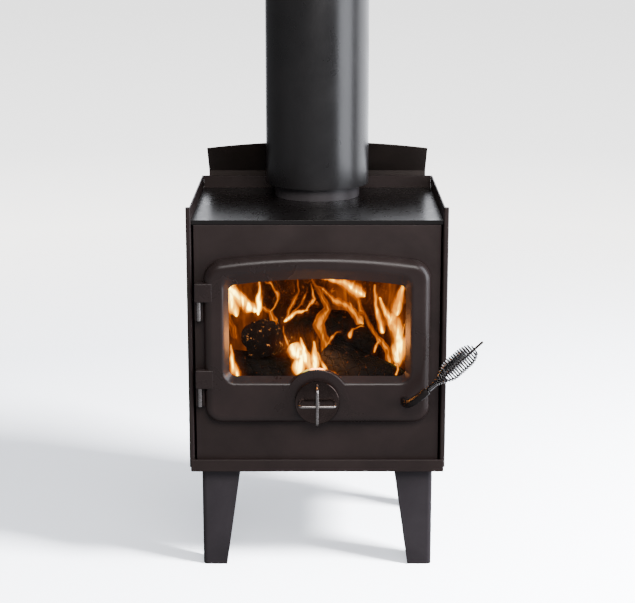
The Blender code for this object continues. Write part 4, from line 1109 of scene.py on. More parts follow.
@dataclass
class HeatShield:
    """Folded sheet behind the stove, on four tubes, each with its screw."""

    datum: Datum
    screw_radius: float = 0.0052
    screw_height: float = 0.0024

    def build(self) -> None:
        """Builds the shield, its tubes and its screw heads."""
        # the shield takes the lighter paint, which paints in light on its shaded flange
        piece = finish_piece(softened("rear_heat_shield", 0.0006, 2), "rear_heat_shield_folded",
                             "shield_paint")
        settle(piece, Part.STOVE, Slot.SHIELD, "rear_heat_shield")
        shield_low, shield_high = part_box("rear_heat_shield")
        for row in ("lower", "upper"):
            for name in ("left", "right"):
                node = "shield_standoff_" + row + "_" + name
                low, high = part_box(node)
                centre = (low + high) / 2
                radius = (high.x - low.x) / 2
                working = bmesh.new()
                profile = rounded_profile([(radius, high.y - low.y, 0.0008), (radius, 0.0, 0.0008),
                                           (radius * 0.45, 0.0, 0.0), (radius * 0.45, high.y - low.y, 0.0)])
                add_turned(working, profile, Vector((centre.x, high.y, centre.z)), Facing.FORWARD,
                           steps=32)
                settle(finish_piece(working, node + "_turned", "plain_steel"), Part.STOVE,
                       Slot.PLAIN_STEEL, node)
                self.screw(node + "_screw", Vector((centre.x, shield_high.y, centre.z)))

    def screw(self, name: str, place: Vector) -> None:
        """A domed screw head on the shield's back."""
        working = bmesh.new()
        dome = [(self.screw_radius * math.cos(math.pi / 2 * step / 6),
                 self.screw_height * math.sin(math.pi / 2 * step / 6)) for step in range(7)]
        profile = [(0.0, 0.0)] + dome[:-1] + [(0.0, self.screw_height)]
        add_turned(working, profile, Vector((0, 0, 0)), Facing.UP, closed=False, steps=24)
        turn = Matrix.Translation(place) @ Matrix.Rotation(-math.pi / 2, 4, "X")
        bmesh.ops.transform(working, matrix=turn, verts=working.verts)
        settle(finish_piece(working, name, "plain_steel"), Part.STOVE, Slot.PLAIN_STEEL)


# ---------------------------------------------------------------- door
@dataclass
class Door:
    """The cast door with its flared window, boss, glass, gasket and rope seal."""

    datum: Datum
    thickness: float = 0.020
    standoff: float = 0.003
    front_recess: float = 0.006
    corner: float = 0.031
    arch: float = 0.0163
    rim: float = 0.016
    window_side: float = 0.0455
    window_top: float = 0.0466
    window_bottom: float = 0.089
    window_arch: float = 0.0125
    window_corner: float = 0.011
    flare_side: float = 0.011
    flare_top: float = 0.022
    flare_bottom: float = 0.013
    lip_round: float = 0.0032
    rebate_depth: float = 0.0067
    glass_overlap: float = 0.009
    seal_inset: float = 0.0115
    seal_width: float = 0.009
    seal_sill: float = 0.0055
    seal_depth: float = 0.005
    hump_radius: float = 0.0595
    boss_radius: float = 0.036
    boss_round: float = 0.0015
    boss_proud: float = 0.0065
    well_radius: float = 0.0105
    well_depth: float = 0.005

    def outline(self) -> ArchedOutline:
        """The door's edge."""
        return ArchedOutline(self.datum.door_half, self.datum.door_low, self.datum.door_top,
                             self.arch, self.corner)

    def window(self, grow: float = 0.0) -> ArchedOutline:
        """The window's narrowest outline, made wider all round by a margin."""
        inner = self.outline().moved_in(self.window_side - grow, self.window_bottom - grow,
                                        self.window_top - grow, self.window_corner + grow * 0.2)
        return replace(inner, arch=self.window_arch)

    def rear(self) -> float:
        """Depth of the casting's rear face."""
        return self.front_recess - self.standoff

    def face(self) -> float:
        """Depth of the casting's front face."""
        return self.rear() - self.thickness

    def build(self) -> None:
        """Builds the door and everything fixed to it."""
        self.casting()
        self.glass()
        self.seals()
        self.retainers()
        self.spindle()

    def casting(self) -> None:
        """The casting: convex rim, flared window, boss, ports and hinge lugs."""
        datum, edge = self.datum, self.outline()
        rear, face = self.rear(), self.face()
        working = bmesh.new()
        rings = []

        def ring(outline: ArchedOutline, depth: float) -> None:
            """Adds the next loop of the casting's skin."""
            rings.append(outline.points(datum, depth))

        ring(edge.moved_in(0.0008), rear)
        ring(edge, rear - 0.0008)
        for step in range(13):
            angle = math.pi / 2 * step / 12
            ring(edge.moved_in(self.rim * (1 - math.cos(angle))),
                 face + self.rim * (1 - math.sin(angle)))
        ring(edge.moved_in(self.rim + 0.0008), face)
        mouth = edge.moved_in(self.window_side - self.flare_side, self.window_bottom - self.flare_bottom,
                              self.window_top - self.flare_top, self.window_corner + self.flare_side)
        mouth = replace(mouth, arch=self.window_arch)
        throat = self.window()
        throat_depth = rear - self.rebate_depth
        ring(mouth.moved_in(-self.lip_round * 1.3), face)
        for step in range(7):
            share = step / 6
            out = self.lip_round * (1 - share) ** 2
            down = share ** 2 * 0.28
            ring(self.between(mouth.moved_in(-out), throat, down),
                 face + (throat_depth - face) * down)
        for share in (0.45, 0.65, 0.85, 0.96):
            ring(self.between(mouth, throat, share), face + (throat_depth - face) * share)
        ring(throat, throat_depth)
        rebate = self.window(self.glass_overlap + GAP)
        ring(rebate, throat_depth)
        ring(rebate, rear)
        channel = self.seal_outline(self.seal_width + GAP)
        wide = self.seal_outline(-GAP)
        floor = rear - self.seal_depth
        ring(channel, rear)
        ring(channel, floor)
        ring(wide, floor)
        ring(wide, rear)
        skin_rings(working, rings)
        bmesh.ops.recalc_face_normals(working, faces=working.faces)
        working = worked(working, self.hump(), "UNION")
        working = worked(working, self.boss(), "UNION")
        working = worked(working, self.lugs(), "UNION")
        working = worked(working, self.well(), "DIFFERENCE")
        working = worked(working, self.bores(), "DIFFERENCE")
        settle(finish_piece(working, "door_casting", "cast_iron_paint", 35.0), Part.DOOR,
               Slot.CAST_IRON, "door_frame")

    @staticmethod
    def between(near: ArchedOutline, far: ArchedOutline, share: float) -> ArchedOutline:
        """An outline part of the way from one to another."""
        def mix(name: str) -> float:
            """One size of the outline."""
            return getattr(near, name) * (1 - share) + getattr(far, name) * share
        return replace(near, **{name: mix(name) for name in
                                ("half_width", "bottom", "crown", "arch", "corner")})

    def seal_outline(self, inward: float) -> ArchedOutline:
        """The rope seal's outer edge, moved in by a distance."""
        return self.outline().moved_in(self.seal_inset + inward, self.seal_sill + inward,
                                       self.seal_inset + inward)

    def hump(self) -> bmesh.types.BMesh:
        """The arched metal above the air control, flush with the face, that rises into the window."""
        depth = self.thickness - self.rebate_depth
        profile = rounded_profile([(0.0, 0.0, 0.0), (self.hump_radius, 0.0, 0.0),
                                   (self.hump_radius, depth, self.lip_round), (0.0, depth, 0.0)], 8)
        working = bmesh.new()
        place = self.datum.at(0.0, self.face() + depth - 0.0003, self.datum.air_z)
        add_turned(working, profile, place, Facing.FORWARD, closed=False, steps=96)
        bmesh.ops.bisect_plane(working, geom=working.verts[:] + working.edges[:] + working.faces[:],
                               plane_co=place, plane_no=(0.0, 0.0, 1.0), clear_inner=True)
        bmesh.ops.holes_fill(working, edges=[edge for edge in working.edges if edge.is_boundary],
                             sides=0)
        return working

    def boss(self) -> bmesh.types.BMesh:
        """The round seat that the air disc closes on."""
        height = self.boss_proud + self.thickness * 0.6
        profile = rounded_profile([(0.0, 0.0, 0.0), (self.boss_radius, 0.0, 0.0),
                                   (self.boss_radius, height, self.boss_round), (0.0, height, 0.0)], 8)
        working = bmesh.new()
        place = self.datum.at(0.0, self.face() + self.thickness * 0.6, self.datum.air_z)
        add_turned(working, profile, place, Facing.FORWARD, closed=False, steps=96)
        return working

    def lugs(self) -> bmesh.types.BMesh:
        """The two hinge lugs, which reach from the casting over the pins."""
        working = bmesh.new()
        for name in ("upper", "lower"):
            pin_low, pin_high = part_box("hinge_pin_" + name)
            bracket_low, bracket_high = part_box("hinge_bracket_" + name)
            centre = (pin_low + pin_high) / 2
            low = Vector((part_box("door_frame")[0].x, centre.y - 0.0076, bracket_high.z + GAP))
            high = Vector((centre.x + 0.0247, centre.y + 0.0076, pin_high.z + 0.0043))
            made = add_slab(working, low, high)
            edges = {edge for vert in made for edge in vert.link_edges}
            round_edges(working, list(edges), 0.0022, 4)
        return working

    def well(self) -> bmesh.types.BMesh:
        """The cutter of the well in the boss, where the air control's washer lies."""
        place = self.datum.at(0.0, self.face() - self.boss_proud, self.datum.air_z)
        working = bmesh.new()
        bmesh.ops.create_cone(working, cap_ends=True, segments=48, radius1=self.well_radius,
                              radius2=self.well_radius, depth=2 * self.well_depth,
                              matrix=Matrix.Translation(place) @ Facing.FORWARD.matrix())
        return working

    def bores(self) -> bmesh.types.BMesh:
        """The spindle holes, air ports and hinge holes, as one set of cutters."""
        working = bmesh.new()
        depth = 4 * self.thickness
        air = self.datum.at(0.0, self.face(), self.datum.air_z)
        latch = Vector((self.datum.latch_x, air.y, air.z))
        holes = [(air, 0.0053), (latch, 0.0073)]
        for index in range(6):
            angle = 2 * math.pi * (index + 0.5) / 6
            holes.append((air + 0.017 * Vector((math.cos(angle), 0.0, math.sin(angle))), 0.0055))
        turn = Facing.FORWARD.matrix()
        for place, radius in holes:
            bmesh.ops.create_cone(working, cap_ends=True, segments=32, radius1=radius, radius2=radius,
                                  depth=depth, matrix=Matrix.Translation(place) @ turn)
        for name in ("upper", "lower"):
            low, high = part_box("hinge_pin_" + name)
            centre = (low + high) / 2
            bmesh.ops.create_cone(working, cap_ends=True, segments=32, radius1=0.0043, radius2=0.0043,
                                  depth=high.z - low.z + 2 * GAP, matrix=Matrix.Translation(centre))
        return working

    def glass(self) -> None:
        """The pane, with ground edges."""
        low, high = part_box("window_glass")
        near, far = low.y - self.datum.front_y, high.y - self.datum.front_y
        outline = self.window(self.glass_overlap)
        ease = 0.0005
        working = bmesh.new()
        rings = [outline.moved_in(inset).points(self.datum, depth)
                 for inset, depth in ((ease, near), (0.0, near + ease), (0.0, far - ease), (ease, far))]
        first, last = skin_rings(working, rings, closed=False)
        bmesh.ops.holes_fill(working, edges=first + last, sides=0)
        settle(finish_piece(working, "window_pane", "ceramic_glass"), Part.DOOR, Slot.GLASS,
               "window_glass")

    def seals(self) -> None:
        """The rope round the door and the flat gasket behind the window's frame."""
        low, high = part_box("door_rope_seal")
        middle = (low.y + high.y) / 2 - self.datum.front_y
        reach = (high.y - low.y) / 2
        working = bmesh.new()
        rings = []
        for step in range(14):
            angle = 2 * math.pi * step / 14
            inward = self.seal_width / 2 * (1 - math.cos(angle))
            rings.append(self.seal_outline(inward).points(self.datum, middle + reach * math.sin(angle)))
        skin_rings(working, rings)
        settle(finish_piece(working, "door_rope", "ceramic_rope", flat_faces=False), Part.DOOR,
               Slot.ROPE, "door_rope_seal")
        low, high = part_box("glass_gasket")
        near, far = low.y - self.datum.front_y, high.y - self.datum.front_y
        outer, inner = self.window(self.glass_overlap), self.window(0.0015)
        working = bmesh.new()
        rings = [outline.points(self.datum, depth)
                 for outline, depth in ((outer, near), (outer, far), (inner, far), (inner, near))]
        skin_rings(working, rings)
        settle(finish_piece(working, "glass_tape", "ceramic_rope"), Part.DOOR, Slot.ROPE,
               "glass_gasket")

    def retainers(self) -> None:
        """The strips that hold the glass."""
        for name in ("left", "right"):
            node = "glass_retainer_" + name
            piece = finish_piece(softened(node, 0.0004, 2), node + "_pressed", "plain_steel")
            settle(piece, Part.DOOR, Slot.PLAIN_STEEL, node)

    def spindle(self) -> None:
        """The threaded spindle of the air control, with a chamfered tip."""
        low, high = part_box("air_spindle")
        centre = (low + high) / 2
        radius, length = (high.x - low.x) / 2, high.y - low.y
        pitch, depth = 0.002, 0.0004
        profile = [(0.0, 0.0), (radius - depth, 0.0)]
        turns = int((length - 0.002) / pitch)
        for index in range(turns):
            base = 0.001 + index * pitch
            profile += [(radius - depth, base), (radius, base + pitch / 2)]
        profile += [(radius - depth, length - 0.0012), (radius - 3 * depth, length), (0.0, length)]
        working = bmesh.new()
        add_turned(working, profile, Vector((centre.x, high.y, centre.z)), Facing.FORWARD,
                   closed=False, steps=32)
        settle(finish_piece(working, "air_spindle_threaded", "plain_steel", flat_faces=False),
               Part.DOOR, Slot.PLAIN_STEEL, "air_spindle")


@dataclass
class Hinges:
    """Pins and the brackets that carry them."""

    def build(self) -> None:
        """Builds both hinges."""
        for name in ("upper", "lower"):
            pin = "hinge_pin_" + name
            low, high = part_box(pin)
            radius, height = (high.x - low.x) / 2, high.z - low.z
            profile = rounded_profile([(0.0, 0.0, 0.0), (radius, 0.0, 0.0012),
                                       (radius, height, 0.0012), (0.0, height, 0.0)])
            working = bmesh.new()
            centre = (low + high) / 2
            add_turned(working, profile, Vector((centre.x, centre.y, low.z)), closed=False, steps=40)
            settle(finish_piece(working, pin + "_turned", "bright_wire"), Part.STOVE,
                   Slot.BRIGHT_WIRE, pin)
            node = "hinge_bracket_" + name
            piece = finish_piece(softened(node, 0.0006, 2, 40.0), node + "_welded", "stove_paint")
            settle(piece, Part.STOVE, Slot.STOVE_PAINT, node)


# ---------------------------------------------------------------- latch and handle
@dataclass
class Latch:
    """The cranked handle with its spring grip, spindle, cam and nut."""

    datum: Datum
    face: float
    arm_radius: float = 0.0077
    arm_neck: float = 0.004
    arm_forward: float = 0.053
    arm_length: float = 0.0517
    grip_angle: float = math.radians(42.9)
    grip_length: float = 0.134
    rod_radius: float = 0.0022
    wire: float = 0.0012
    bulge: float = 0.0186
    swell: tuple[float, float] = (0.016, 0.058)
    close: tuple[float, float] = (0.088, 0.114)
    tight_pitch: float = 0.0030
    open_pitch: float = 0.0049

    def placed(self, points: list[Vector]) -> list[Vector]:
        """Points along the grip's direction, carried to the spindle's axis on the door."""
        turn = Matrix.Rotation(-self.grip_angle, 4, "Y")
        spindle = self.datum.at(self.datum.latch_x - self.datum.middle_x, self.face, self.datum.air_z)
        return [spindle + (turn @ point) for point in points]

    def coil_radius(self, distance: float) -> float:
        """Radius of the spring's centre line at a distance along the grip."""
        snug = self.rod_radius + GAP + self.wire
        swell = min(max((distance - self.swell[0]) / (self.swell[1] - self.swell[0]), 0.0), 1.0)
        close = min(max((distance - self.close[0]) / (self.close[1] - self.close[0]), 0.0), 1.0)
        opened = swell * swell * (3 - 2 * swell)
        return snug + (self.bulge - snug) * opened * math.sqrt(1 - close ** 2)

    def coil(self, steps: int = 28) -> list[Vector]:
        """The spring's centre line, tight on the rod and open where it bulges."""
        points = []
        distance, angle = 0.002, 0.0
        while distance < self.close[1]:
            radius = self.coil_radius(distance)
            points.append(Vector((self.arm_length + GAP + distance, radius * math.cos(angle) * 1.0,
                                  radius * math.sin(angle))))
            points[-1].y, points[-1].z = -self.arm_forward + radius * math.cos(angle), radius * math.sin(angle)
            openness = min(max((distance - self.swell[0]) / 0.012, 0.0), 1.0)
            pitch = self.tight_pitch + (self.open_pitch - self.tight_pitch) * openness
            distance += pitch / steps
            angle += 2 * math.pi / steps
        return points

    def build(self) -> None:
        """Builds the handle and what turns with it."""
        arm = [Vector((0.0, -GAP, 0.0))]
        steps = 28
        for step in range(steps + 1):
            t = step / steps
            forward = self.arm_neck + (self.arm_forward - self.arm_neck) * (1 - (1 - t) ** 2)
            arm.append(Vector((self.arm_length * t * t, -forward, 0.0)))
        taper = [1.0] * (len(arm) - 1) + [0.93]
        settle(swept("handle_arm_forged", self.placed(arm), self.arm_radius, 8, "forged_black", taper),
               Part.LATCH, Slot.DARK_STEEL, "handle_arm")
        start = Vector((self.arm_length + GAP, -self.arm_forward, 0.0))
        end = start + Vector((self.grip_length, 0.0, 0.0))
        rod = [start.lerp(end, share) for share in (0.0, 0.5, 0.985, 1.0)]
        settle(swept("grip_rod_drawn", self.placed(rod), self.rod_radius, 5, "dark_steel",
                     [1.0, 1.0, 1.0, 0.7]), Part.LATCH, Slot.DARK_STEEL, "grip_rod")
        settle(swept("coil_grip_wound", self.placed(self.coil()), self.wire * 1.2, 3, "spring_wire"),
               Part.LATCH, Slot.BRIGHT_WIRE, "coil_grip")
        for node, finish, slot in (("latch_spindle", "plain_steel", Slot.PLAIN_STEEL),
                                   ("latch_cam", "dark_steel", Slot.DARK_STEEL),
                                   ("latch_nut", "plain_steel", Slot.PLAIN_STEEL)):
            piece = finish_piece(softened(node, 0.0005, 2, 40.0), node + "_machined", finish)
            settle(piece, Part.LATCH, slot, node)


# ---------------------------------------------------------------- air control
@dataclass
class AirControl:
    """The spinning disc with its two crossed wire loops, and its friction washer."""

    datum: Datum
    dome: float = 0.003
    wire_radius: float = 0.003
    reach: float = 0.033
    standoff: float = 0.0265
    bend: float = 0.006

    def disc(self) -> None:
        """The domed disc."""
        low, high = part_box("air_disc")
        radius = (high.x - low.x) / 2
        thick = high.y - low.y
        rim = thick - self.dome
        bore = 0.0053
        crown = [(radius - 0.0012 - (radius - 0.0012 - bore) * step / 12) for step in range(13)]
        profile = [(bore, 0.0), (radius - 0.0006, 0.0), (radius, 0.0006), (radius, rim - 0.0014),
                   (radius - 0.0004, rim - 0.0005)]
        profile += [(r, rim + self.dome * (1 - (r / radius) ** 2)) for r in crown]
        working = bmesh.new()
        add_turned(working, profile, Vector(((low.x + high.x) / 2, high.y, (low.z + high.z) / 2)),
                   Facing.FORWARD, steps=96)
        settle(finish_piece(working, "air_disc_turned", "turned_steel", flat_faces=False), Part.AIR_KNOB,
               Slot.DARK_STEEL, "air_disc")

    def loop(self, forward: float, upright: bool, rim_y: float, radius: float) -> list[Vector]:
        """A bent wire: out of the disc, across its face, and back to it.

        Args:
            forward: How far in front of the disc's rim the wire crosses.
            upright: Whether it crosses from top to bottom.
            rim_y: The depth of the disc's rim.
            radius: The disc's radius.

        Returns:
            The wire's centre line.
        """
        half = []
        for step in range(11):
            angle = math.pi / 2 * step / 10
            half.append((self.reach - self.bend + self.bend * math.cos(angle),
                         -(forward - self.bend + self.bend * math.sin(angle))))
        foot = -GAP - self.dome * (1 - ((self.reach - self.wire_radius) / radius) ** 2)
        half.insert(0, (self.reach, foot))
        across = half + [(-x, y) for x, y in reversed(half)]
        centre = self.datum.at(0.0, 0.0, self.datum.air_z)
        centre.y = rim_y
        if upright:
            return [centre + Vector((0.0, y, x)) for x, y in across]
        return [centre + Vector((x, y, 0.0)) for x, y in across]

    def build(self) -> None:
        """Builds the control."""
        self.disc()
        low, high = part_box("air_disc")
        radius = (high.x - low.x) / 2
        rim_y = low.y + self.dome
        level = self.loop(self.standoff, False, rim_y, radius)
        settle(swept("air_wire_level_bent", level, self.wire_radius, 6, "bright_wire"),
               Part.AIR_KNOB, Slot.BRIGHT_WIRE, "air_wire_level")
        upright = self.loop(self.standoff + 2 * self.wire_radius + GAP, True, rim_y, radius)
        settle(swept("air_wire_upright_bent", upright, self.wire_radius, 6, "bright_wire"),
               Part.AIR_KNOB, Slot.BRIGHT_WIRE, "air_wire_upright")
        dress_node("air_friction_washer", "plain_steel")


# ---------------------------------------------------------------- fire
@dataclass(frozen=True)
class Tongue:
    """One flame on a sheet: a path of points (from the middle, height) in metres, foot to tip."""

    path: tuple[tuple[float, float], ...]
    width: float
    heat: float = 1.0
    hollow: float = 0.0


@dataclass(frozen=True)
class Wood:
    """One log: its two ends, radius and how its section is split."""

    name: str
    start: tuple[float, float, float]
    end: tuple[float, float, float]
    radius: float
    flat: float
    roll: float
    finish: str = "charred_log"


@dataclass
class Fire:
    """Logs, embers and flames in the firebox."""

    datum: Datum
    half_width: float = 0.168
    foot: float = 0.315
    head: float = 0.575
    columns: int = 250
    rows: int = 190
    logs: tuple[Wood, ...] = (
        Wood("log_front_left", (-0.165, 0.120, 0.352), (-0.020, 0.075, 0.338), 0.047, 0.75, 0.5),
        Wood("log_end_on", (-0.108, 0.075, 0.428), (-0.030, 0.250, 0.400), 0.036, 1.0, 0.0, "ember_end"),
        Wood("log_back", (-0.060, 0.185, 0.425), (0.110, 0.170, 0.405), 0.052, 0.8, 0.9),
        Wood("log_front_right", (0.010, 0.110, 0.372), (0.160, 0.070, 0.318), 0.055, 0.72, 0.4),
        Wood("log_deep_right", (0.060, 0.230, 0.350), (0.165, 0.190, 0.395), 0.040, 0.9, 1.4),
    )

    def build(self) -> None:
        """Builds the logs, the bed of embers and three sheets of flame."""
        for wood in self.logs:
            self.log(wood)
        self.embers()
        front = (
            Tongue(((-0.048, 0.428), (-0.023, 0.402), (-0.010, 0.360)), 0.021, 1.35),
            Tongue(((-0.034, 0.360), (-0.026, 0.405), (-0.030, 0.443)), 0.015, 1.2),
            Tongue(((-0.008, 0.355), (-0.004, 0.400), (-0.007, 0.436)), 0.015, 1.35),
            Tongue(((0.030, 0.350), (0.012, 0.385), (0.002, 0.415)), 0.011, 0.9),
            Tongue(((0.044, 0.355), (0.020, 0.378), (0.006, 0.400)), 0.007, 0.8),
            Tongue(((-0.050, 0.424), (-0.058, 0.440), (-0.066, 0.462)), 0.006, 0.75),
            Tongue(((-0.148, 0.355), (-0.156, 0.390), (-0.163, 0.430)), 0.013, 1.1),
            Tongue(((0.142, 0.350), (0.150, 0.380), (0.143, 0.410)), 0.005, 0.75),
        )
        middle = (
            Tongue(((-0.112, 0.478), (-0.145, 0.500), (-0.176, 0.540)), 0.020, 1.25),
            Tongue(((-0.150, 0.470), (-0.160, 0.510), (-0.150, 0.545)), 0.016, 1.05),
            Tongue(((-0.150, 0.425), (-0.166, 0.470), (-0.170, 0.520)), 0.009, 0.75, 0.4),
            Tongue(((-0.107, 0.470), (-0.108, 0.500), (-0.104, 0.545)), 0.009, 1.2),
            Tongue(((-0.093, 0.444), (-0.080, 0.460), (-0.086, 0.480), (-0.106, 0.488)), 0.010, 1.0, 0.3),
            Tongue(((-0.086, 0.483), (-0.073, 0.500), (-0.087, 0.528), (-0.096, 0.545)), 0.005, 0.72),
            Tongue(((-0.060, 0.460), (-0.041, 0.473), (-0.016, 0.482)), 0.009, 1.05),
            Tongue(((-0.020, 0.481), (-0.006, 0.505), (-0.010, 0.535)), 0.005, 0.70),
            Tongue(((-0.056, 0.466), (-0.046, 0.490), (-0.033, 0.522), (-0.040, 0.550)), 0.006, 0.58),
            Tongue(((-0.050, 0.470), (-0.027, 0.492), (-0.018, 0.528)), 0.005, 0.55),
            Tongue(((0.014, 0.385), (0.016, 0.422), (0.001, 0.453), (0.014, 0.485), (0.004, 0.512),
                    (-0.006, 0.545)), 0.011, 0.90, 0.3),
            Tongue(((0.082, 0.452), (0.065, 0.479), (0.026, 0.502), (0.000, 0.528)), 0.011, 0.95, 0.2),
            Tongue(((0.090, 0.505), (0.055, 0.530), (0.010, 0.545)), 0.022, 0.98),
            Tongue(((0.139, 0.360), (0.135, 0.400), (0.109, 0.440), (0.079, 0.480), (0.072, 0.540)),
                   0.008, 0.90, 0.3),
            Tongue(((0.150, 0.380), (0.158, 0.420), (0.142, 0.465), (0.118, 0.500)), 0.021, 1.2),
            Tongue(((0.128, 0.440), (0.112, 0.480), (0.108, 0.525)), 0.013, 0.95),
            Tongue(((0.148, 0.470), (0.156, 0.505), (0.168, 0.545)), 0.012, 0.98),
            Tongue(((0.140, 0.355), (0.163, 0.400), (0.166, 0.450)), 0.008, 0.92),
            Tongue(((0.104, 0.395), (0.116, 0.420), (0.100, 0.452)), 0.005, 0.75),
            Tongue(((0.016, 0.415), (0.028, 0.432), (0.046, 0.438)), 0.005, 0.70),
            Tongue(((0.062, 0.428), (0.070, 0.444), (0.086, 0.449)), 0.005, 0.78),
        )
        back = (
            Tongue(((-0.150, 0.340), (-0.140, 0.590)), 0.050, 0.36),
            Tongue(((-0.040, 0.380), (-0.060, 0.600)), 0.060, 0.24),
            Tongue(((0.050, 0.420), (0.070, 0.600)), 0.065, 0.42),
            Tongue(((0.150, 0.340), (0.140, 0.600)), 0.055, 0.42),
        )
        self.sheet("flame_front_sheet", 0.045, front, 0.0, 11.0, "flame_front")
        self.sheet("flame_middle_sheet", 0.090, middle, 0.44, 23.0, "flame_middle")
        self.sheet("flame_back_sheet", 0.290, back, 0.42, 41.0, "flame_back", 1.12)
        self.glow()

    def log(self, wood: Wood) -> None:
        """A split, burnt log with its ends worn and its surface furrowed."""
        start, end = self.datum.at(*wood.start), self.datum.at(*wood.end)
        axis = end - start
        length = axis.length
        working = bmesh.new()
        bmesh.ops.create_cone(working, cap_ends=True, segments=72, radius1=wood.radius,
                              radius2=wood.radius * 0.94, depth=length)
        lengthways = [edge for edge in working.edges
                      if abs(edge.verts[0].co.z - edge.verts[1].co.z) > length / 2]
        bmesh.ops.subdivide_edges(working, edges=lengthways, cuts=60, use_grid_fill=True)
        caps = [face for face in working.faces if len(face.verts) > 8]
        for _ in range(5):
            inset = bmesh.ops.inset_region(working, faces=caps, thickness=wood.radius * 0.17)
            del inset
        seed = Vector((wood.radius * 900, length * 70, wood.roll * 13))
        for vert in working.verts:
            flat_x = wood.radius * (2 * wood.flat - 1)
            vert.co.x = min(vert.co.x, flat_x + 0.12 * (vert.co.x - flat_x))
            spot = Vector((vert.co.x * 60, vert.co.y * 60, vert.co.z * 14)) + seed
            outward = Vector((vert.co.x, vert.co.y, 0.0))
            swell = noise.fractal(spot, 0.7, 2.0, 4) * 0.0042
            swell += noise.noise(Vector((spot.x, spot.y, spot.z * 3)) * 3.2) * 0.0011
            lumps = noise.noise(vert.co * 18 + seed) * 0.004
            if outward.length > 1e-5:
                vert.co += outward.normalized() * (swell + lumps)
            vert.co.z += noise.noise(vert.co * 40 + seed) * 0.004
        turn = axis.to_track_quat("Z", "Y").to_matrix().to_4x4() @ Matrix.Rotation(wood.roll, 4, "Z")
        place = Matrix.Translation((start + end) / 2) @ turn
        bmesh.ops.transform(working, matrix=place, verts=working.verts)
        piece = finish_piece(working, wood.name, wood.finish, 60.0, flat_faces=False)
        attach(piece, Part.STOVE.value)
        LOG.info("%s lies in the firebox", wood.name)

    def embers(self) -> None:
        """The rough bed of embers and ash on the hearth."""
        low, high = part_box("hearth_brick")
        brick_low, brick_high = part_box("side_brick_left")
        bar_low, bar_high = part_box("log_bar")
        half = self.datum.middle_x - brick_high.x - 0.002
        front, back = bar_high.y + 0.003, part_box("back_brick")[0].y - 0.003
        working = bmesh.new()
        place = Matrix.Translation(((self.datum.middle_x), (front + back) / 2, high.z))
        bmesh.ops.create_grid(working, x_segments=120, y_segments=100, size=1.0, matrix=Matrix.Identity(4))
        bmesh.ops.scale(working, vec=(half, (back - front) / 2, 1.0), verts=working.verts)
        rim = [edge for edge in working.edges if edge.is_boundary]
        for vert in working.verts:
            fall = min(1.0, (half - abs(vert.co.x)) / 0.02, ((back - front) / 2 - abs(vert.co.y)) / 0.02)
            lumps = noise.cell(vert.co * 70) * 0.006 + noise.fractal(vert.co * 45, 0.8, 2.0, 4) * 0.008
            vert.co.z = 0.001 + max(0.0, fall) * (0.014 + max(0.0, lumps))
        skirt = bmesh.ops.extrude_edge_only(working, edges=rim)
        lower = [item for item in skirt["geom"] if isinstance(item, bmesh.types.BMVert)]
        for vert in lower:
            vert.co.z = 0.0004
        bmesh.ops.holes_fill(working, edges=[edge for edge in working.edges if edge.is_boundary], sides=0)
        bmesh.ops.transform(working, matrix=place, verts=working.verts)
        piece = finish_piece(working, "ember_bed", "ember_end", 60.0, flat_faces=False)
        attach(piece, Part.STOVE.value)
        LOG.info("ember_bed lies on the hearth brick")

    def heat(self, x: np.ndarray, z: np.ndarray, tongues: tuple[Tongue, ...]) -> np.ndarray:
        """The heat of a sheet's points, from its flames.

        Args:
            x: The points' distances from the middle.
            z: The points' heights.
            tongues: The flames.

        Returns:
            One value for each point, 0 where there is no flame.
        """
        total = np.zeros_like(x)
        for tongue in tongues:
            corners = np.array(tongue.path)
            runs = np.hypot(*(corners[1:] - corners[:-1]).T)
            starts = np.concatenate(([0.0], np.cumsum(runs)))
            nearest = np.full_like(x, 1.0)
            along = np.zeros_like(x)
            for corner, run, length, start in zip(corners, corners[1:] - corners[:-1], runs, starts):
                share = ((x - corner[0]) * run[0] + (z - corner[1]) * run[1]) / length ** 2
                share = np.clip(share, 0.0, 1.0)
                apart = np.hypot(x - corner[0] - share * run[0], z - corner[1] - share * run[1])
                closer = apart < nearest
                nearest = np.where(closer, apart, nearest)
                along = np.where(closer, (start + share * length) / starts[-1], along)
            width = tongue.width * (0.12 + np.sqrt(np.clip(along / 0.2, 0.0, 1.0))
                                    * (1 - along) ** 0.6)
            share = np.clip(1 - nearest / width, 0.0, 1.0)
            body = share ** 0.75
            if tongue.hollow:
                rim = np.clip(1 - np.abs(nearest / width - 0.7) / 0.25, 0.0, 1.0)
                body = body * (1 - tongue.hollow) + rim * tongue.hollow
            halo = 0.25 * np.exp(-(nearest / (1.7 * tongue.width)) ** 2)
            body = np.maximum(body * (1 - 0.2 * along), halo * (1 - tongue.hollow))
            total = np.maximum(total, tongue.heat * body)
        return total

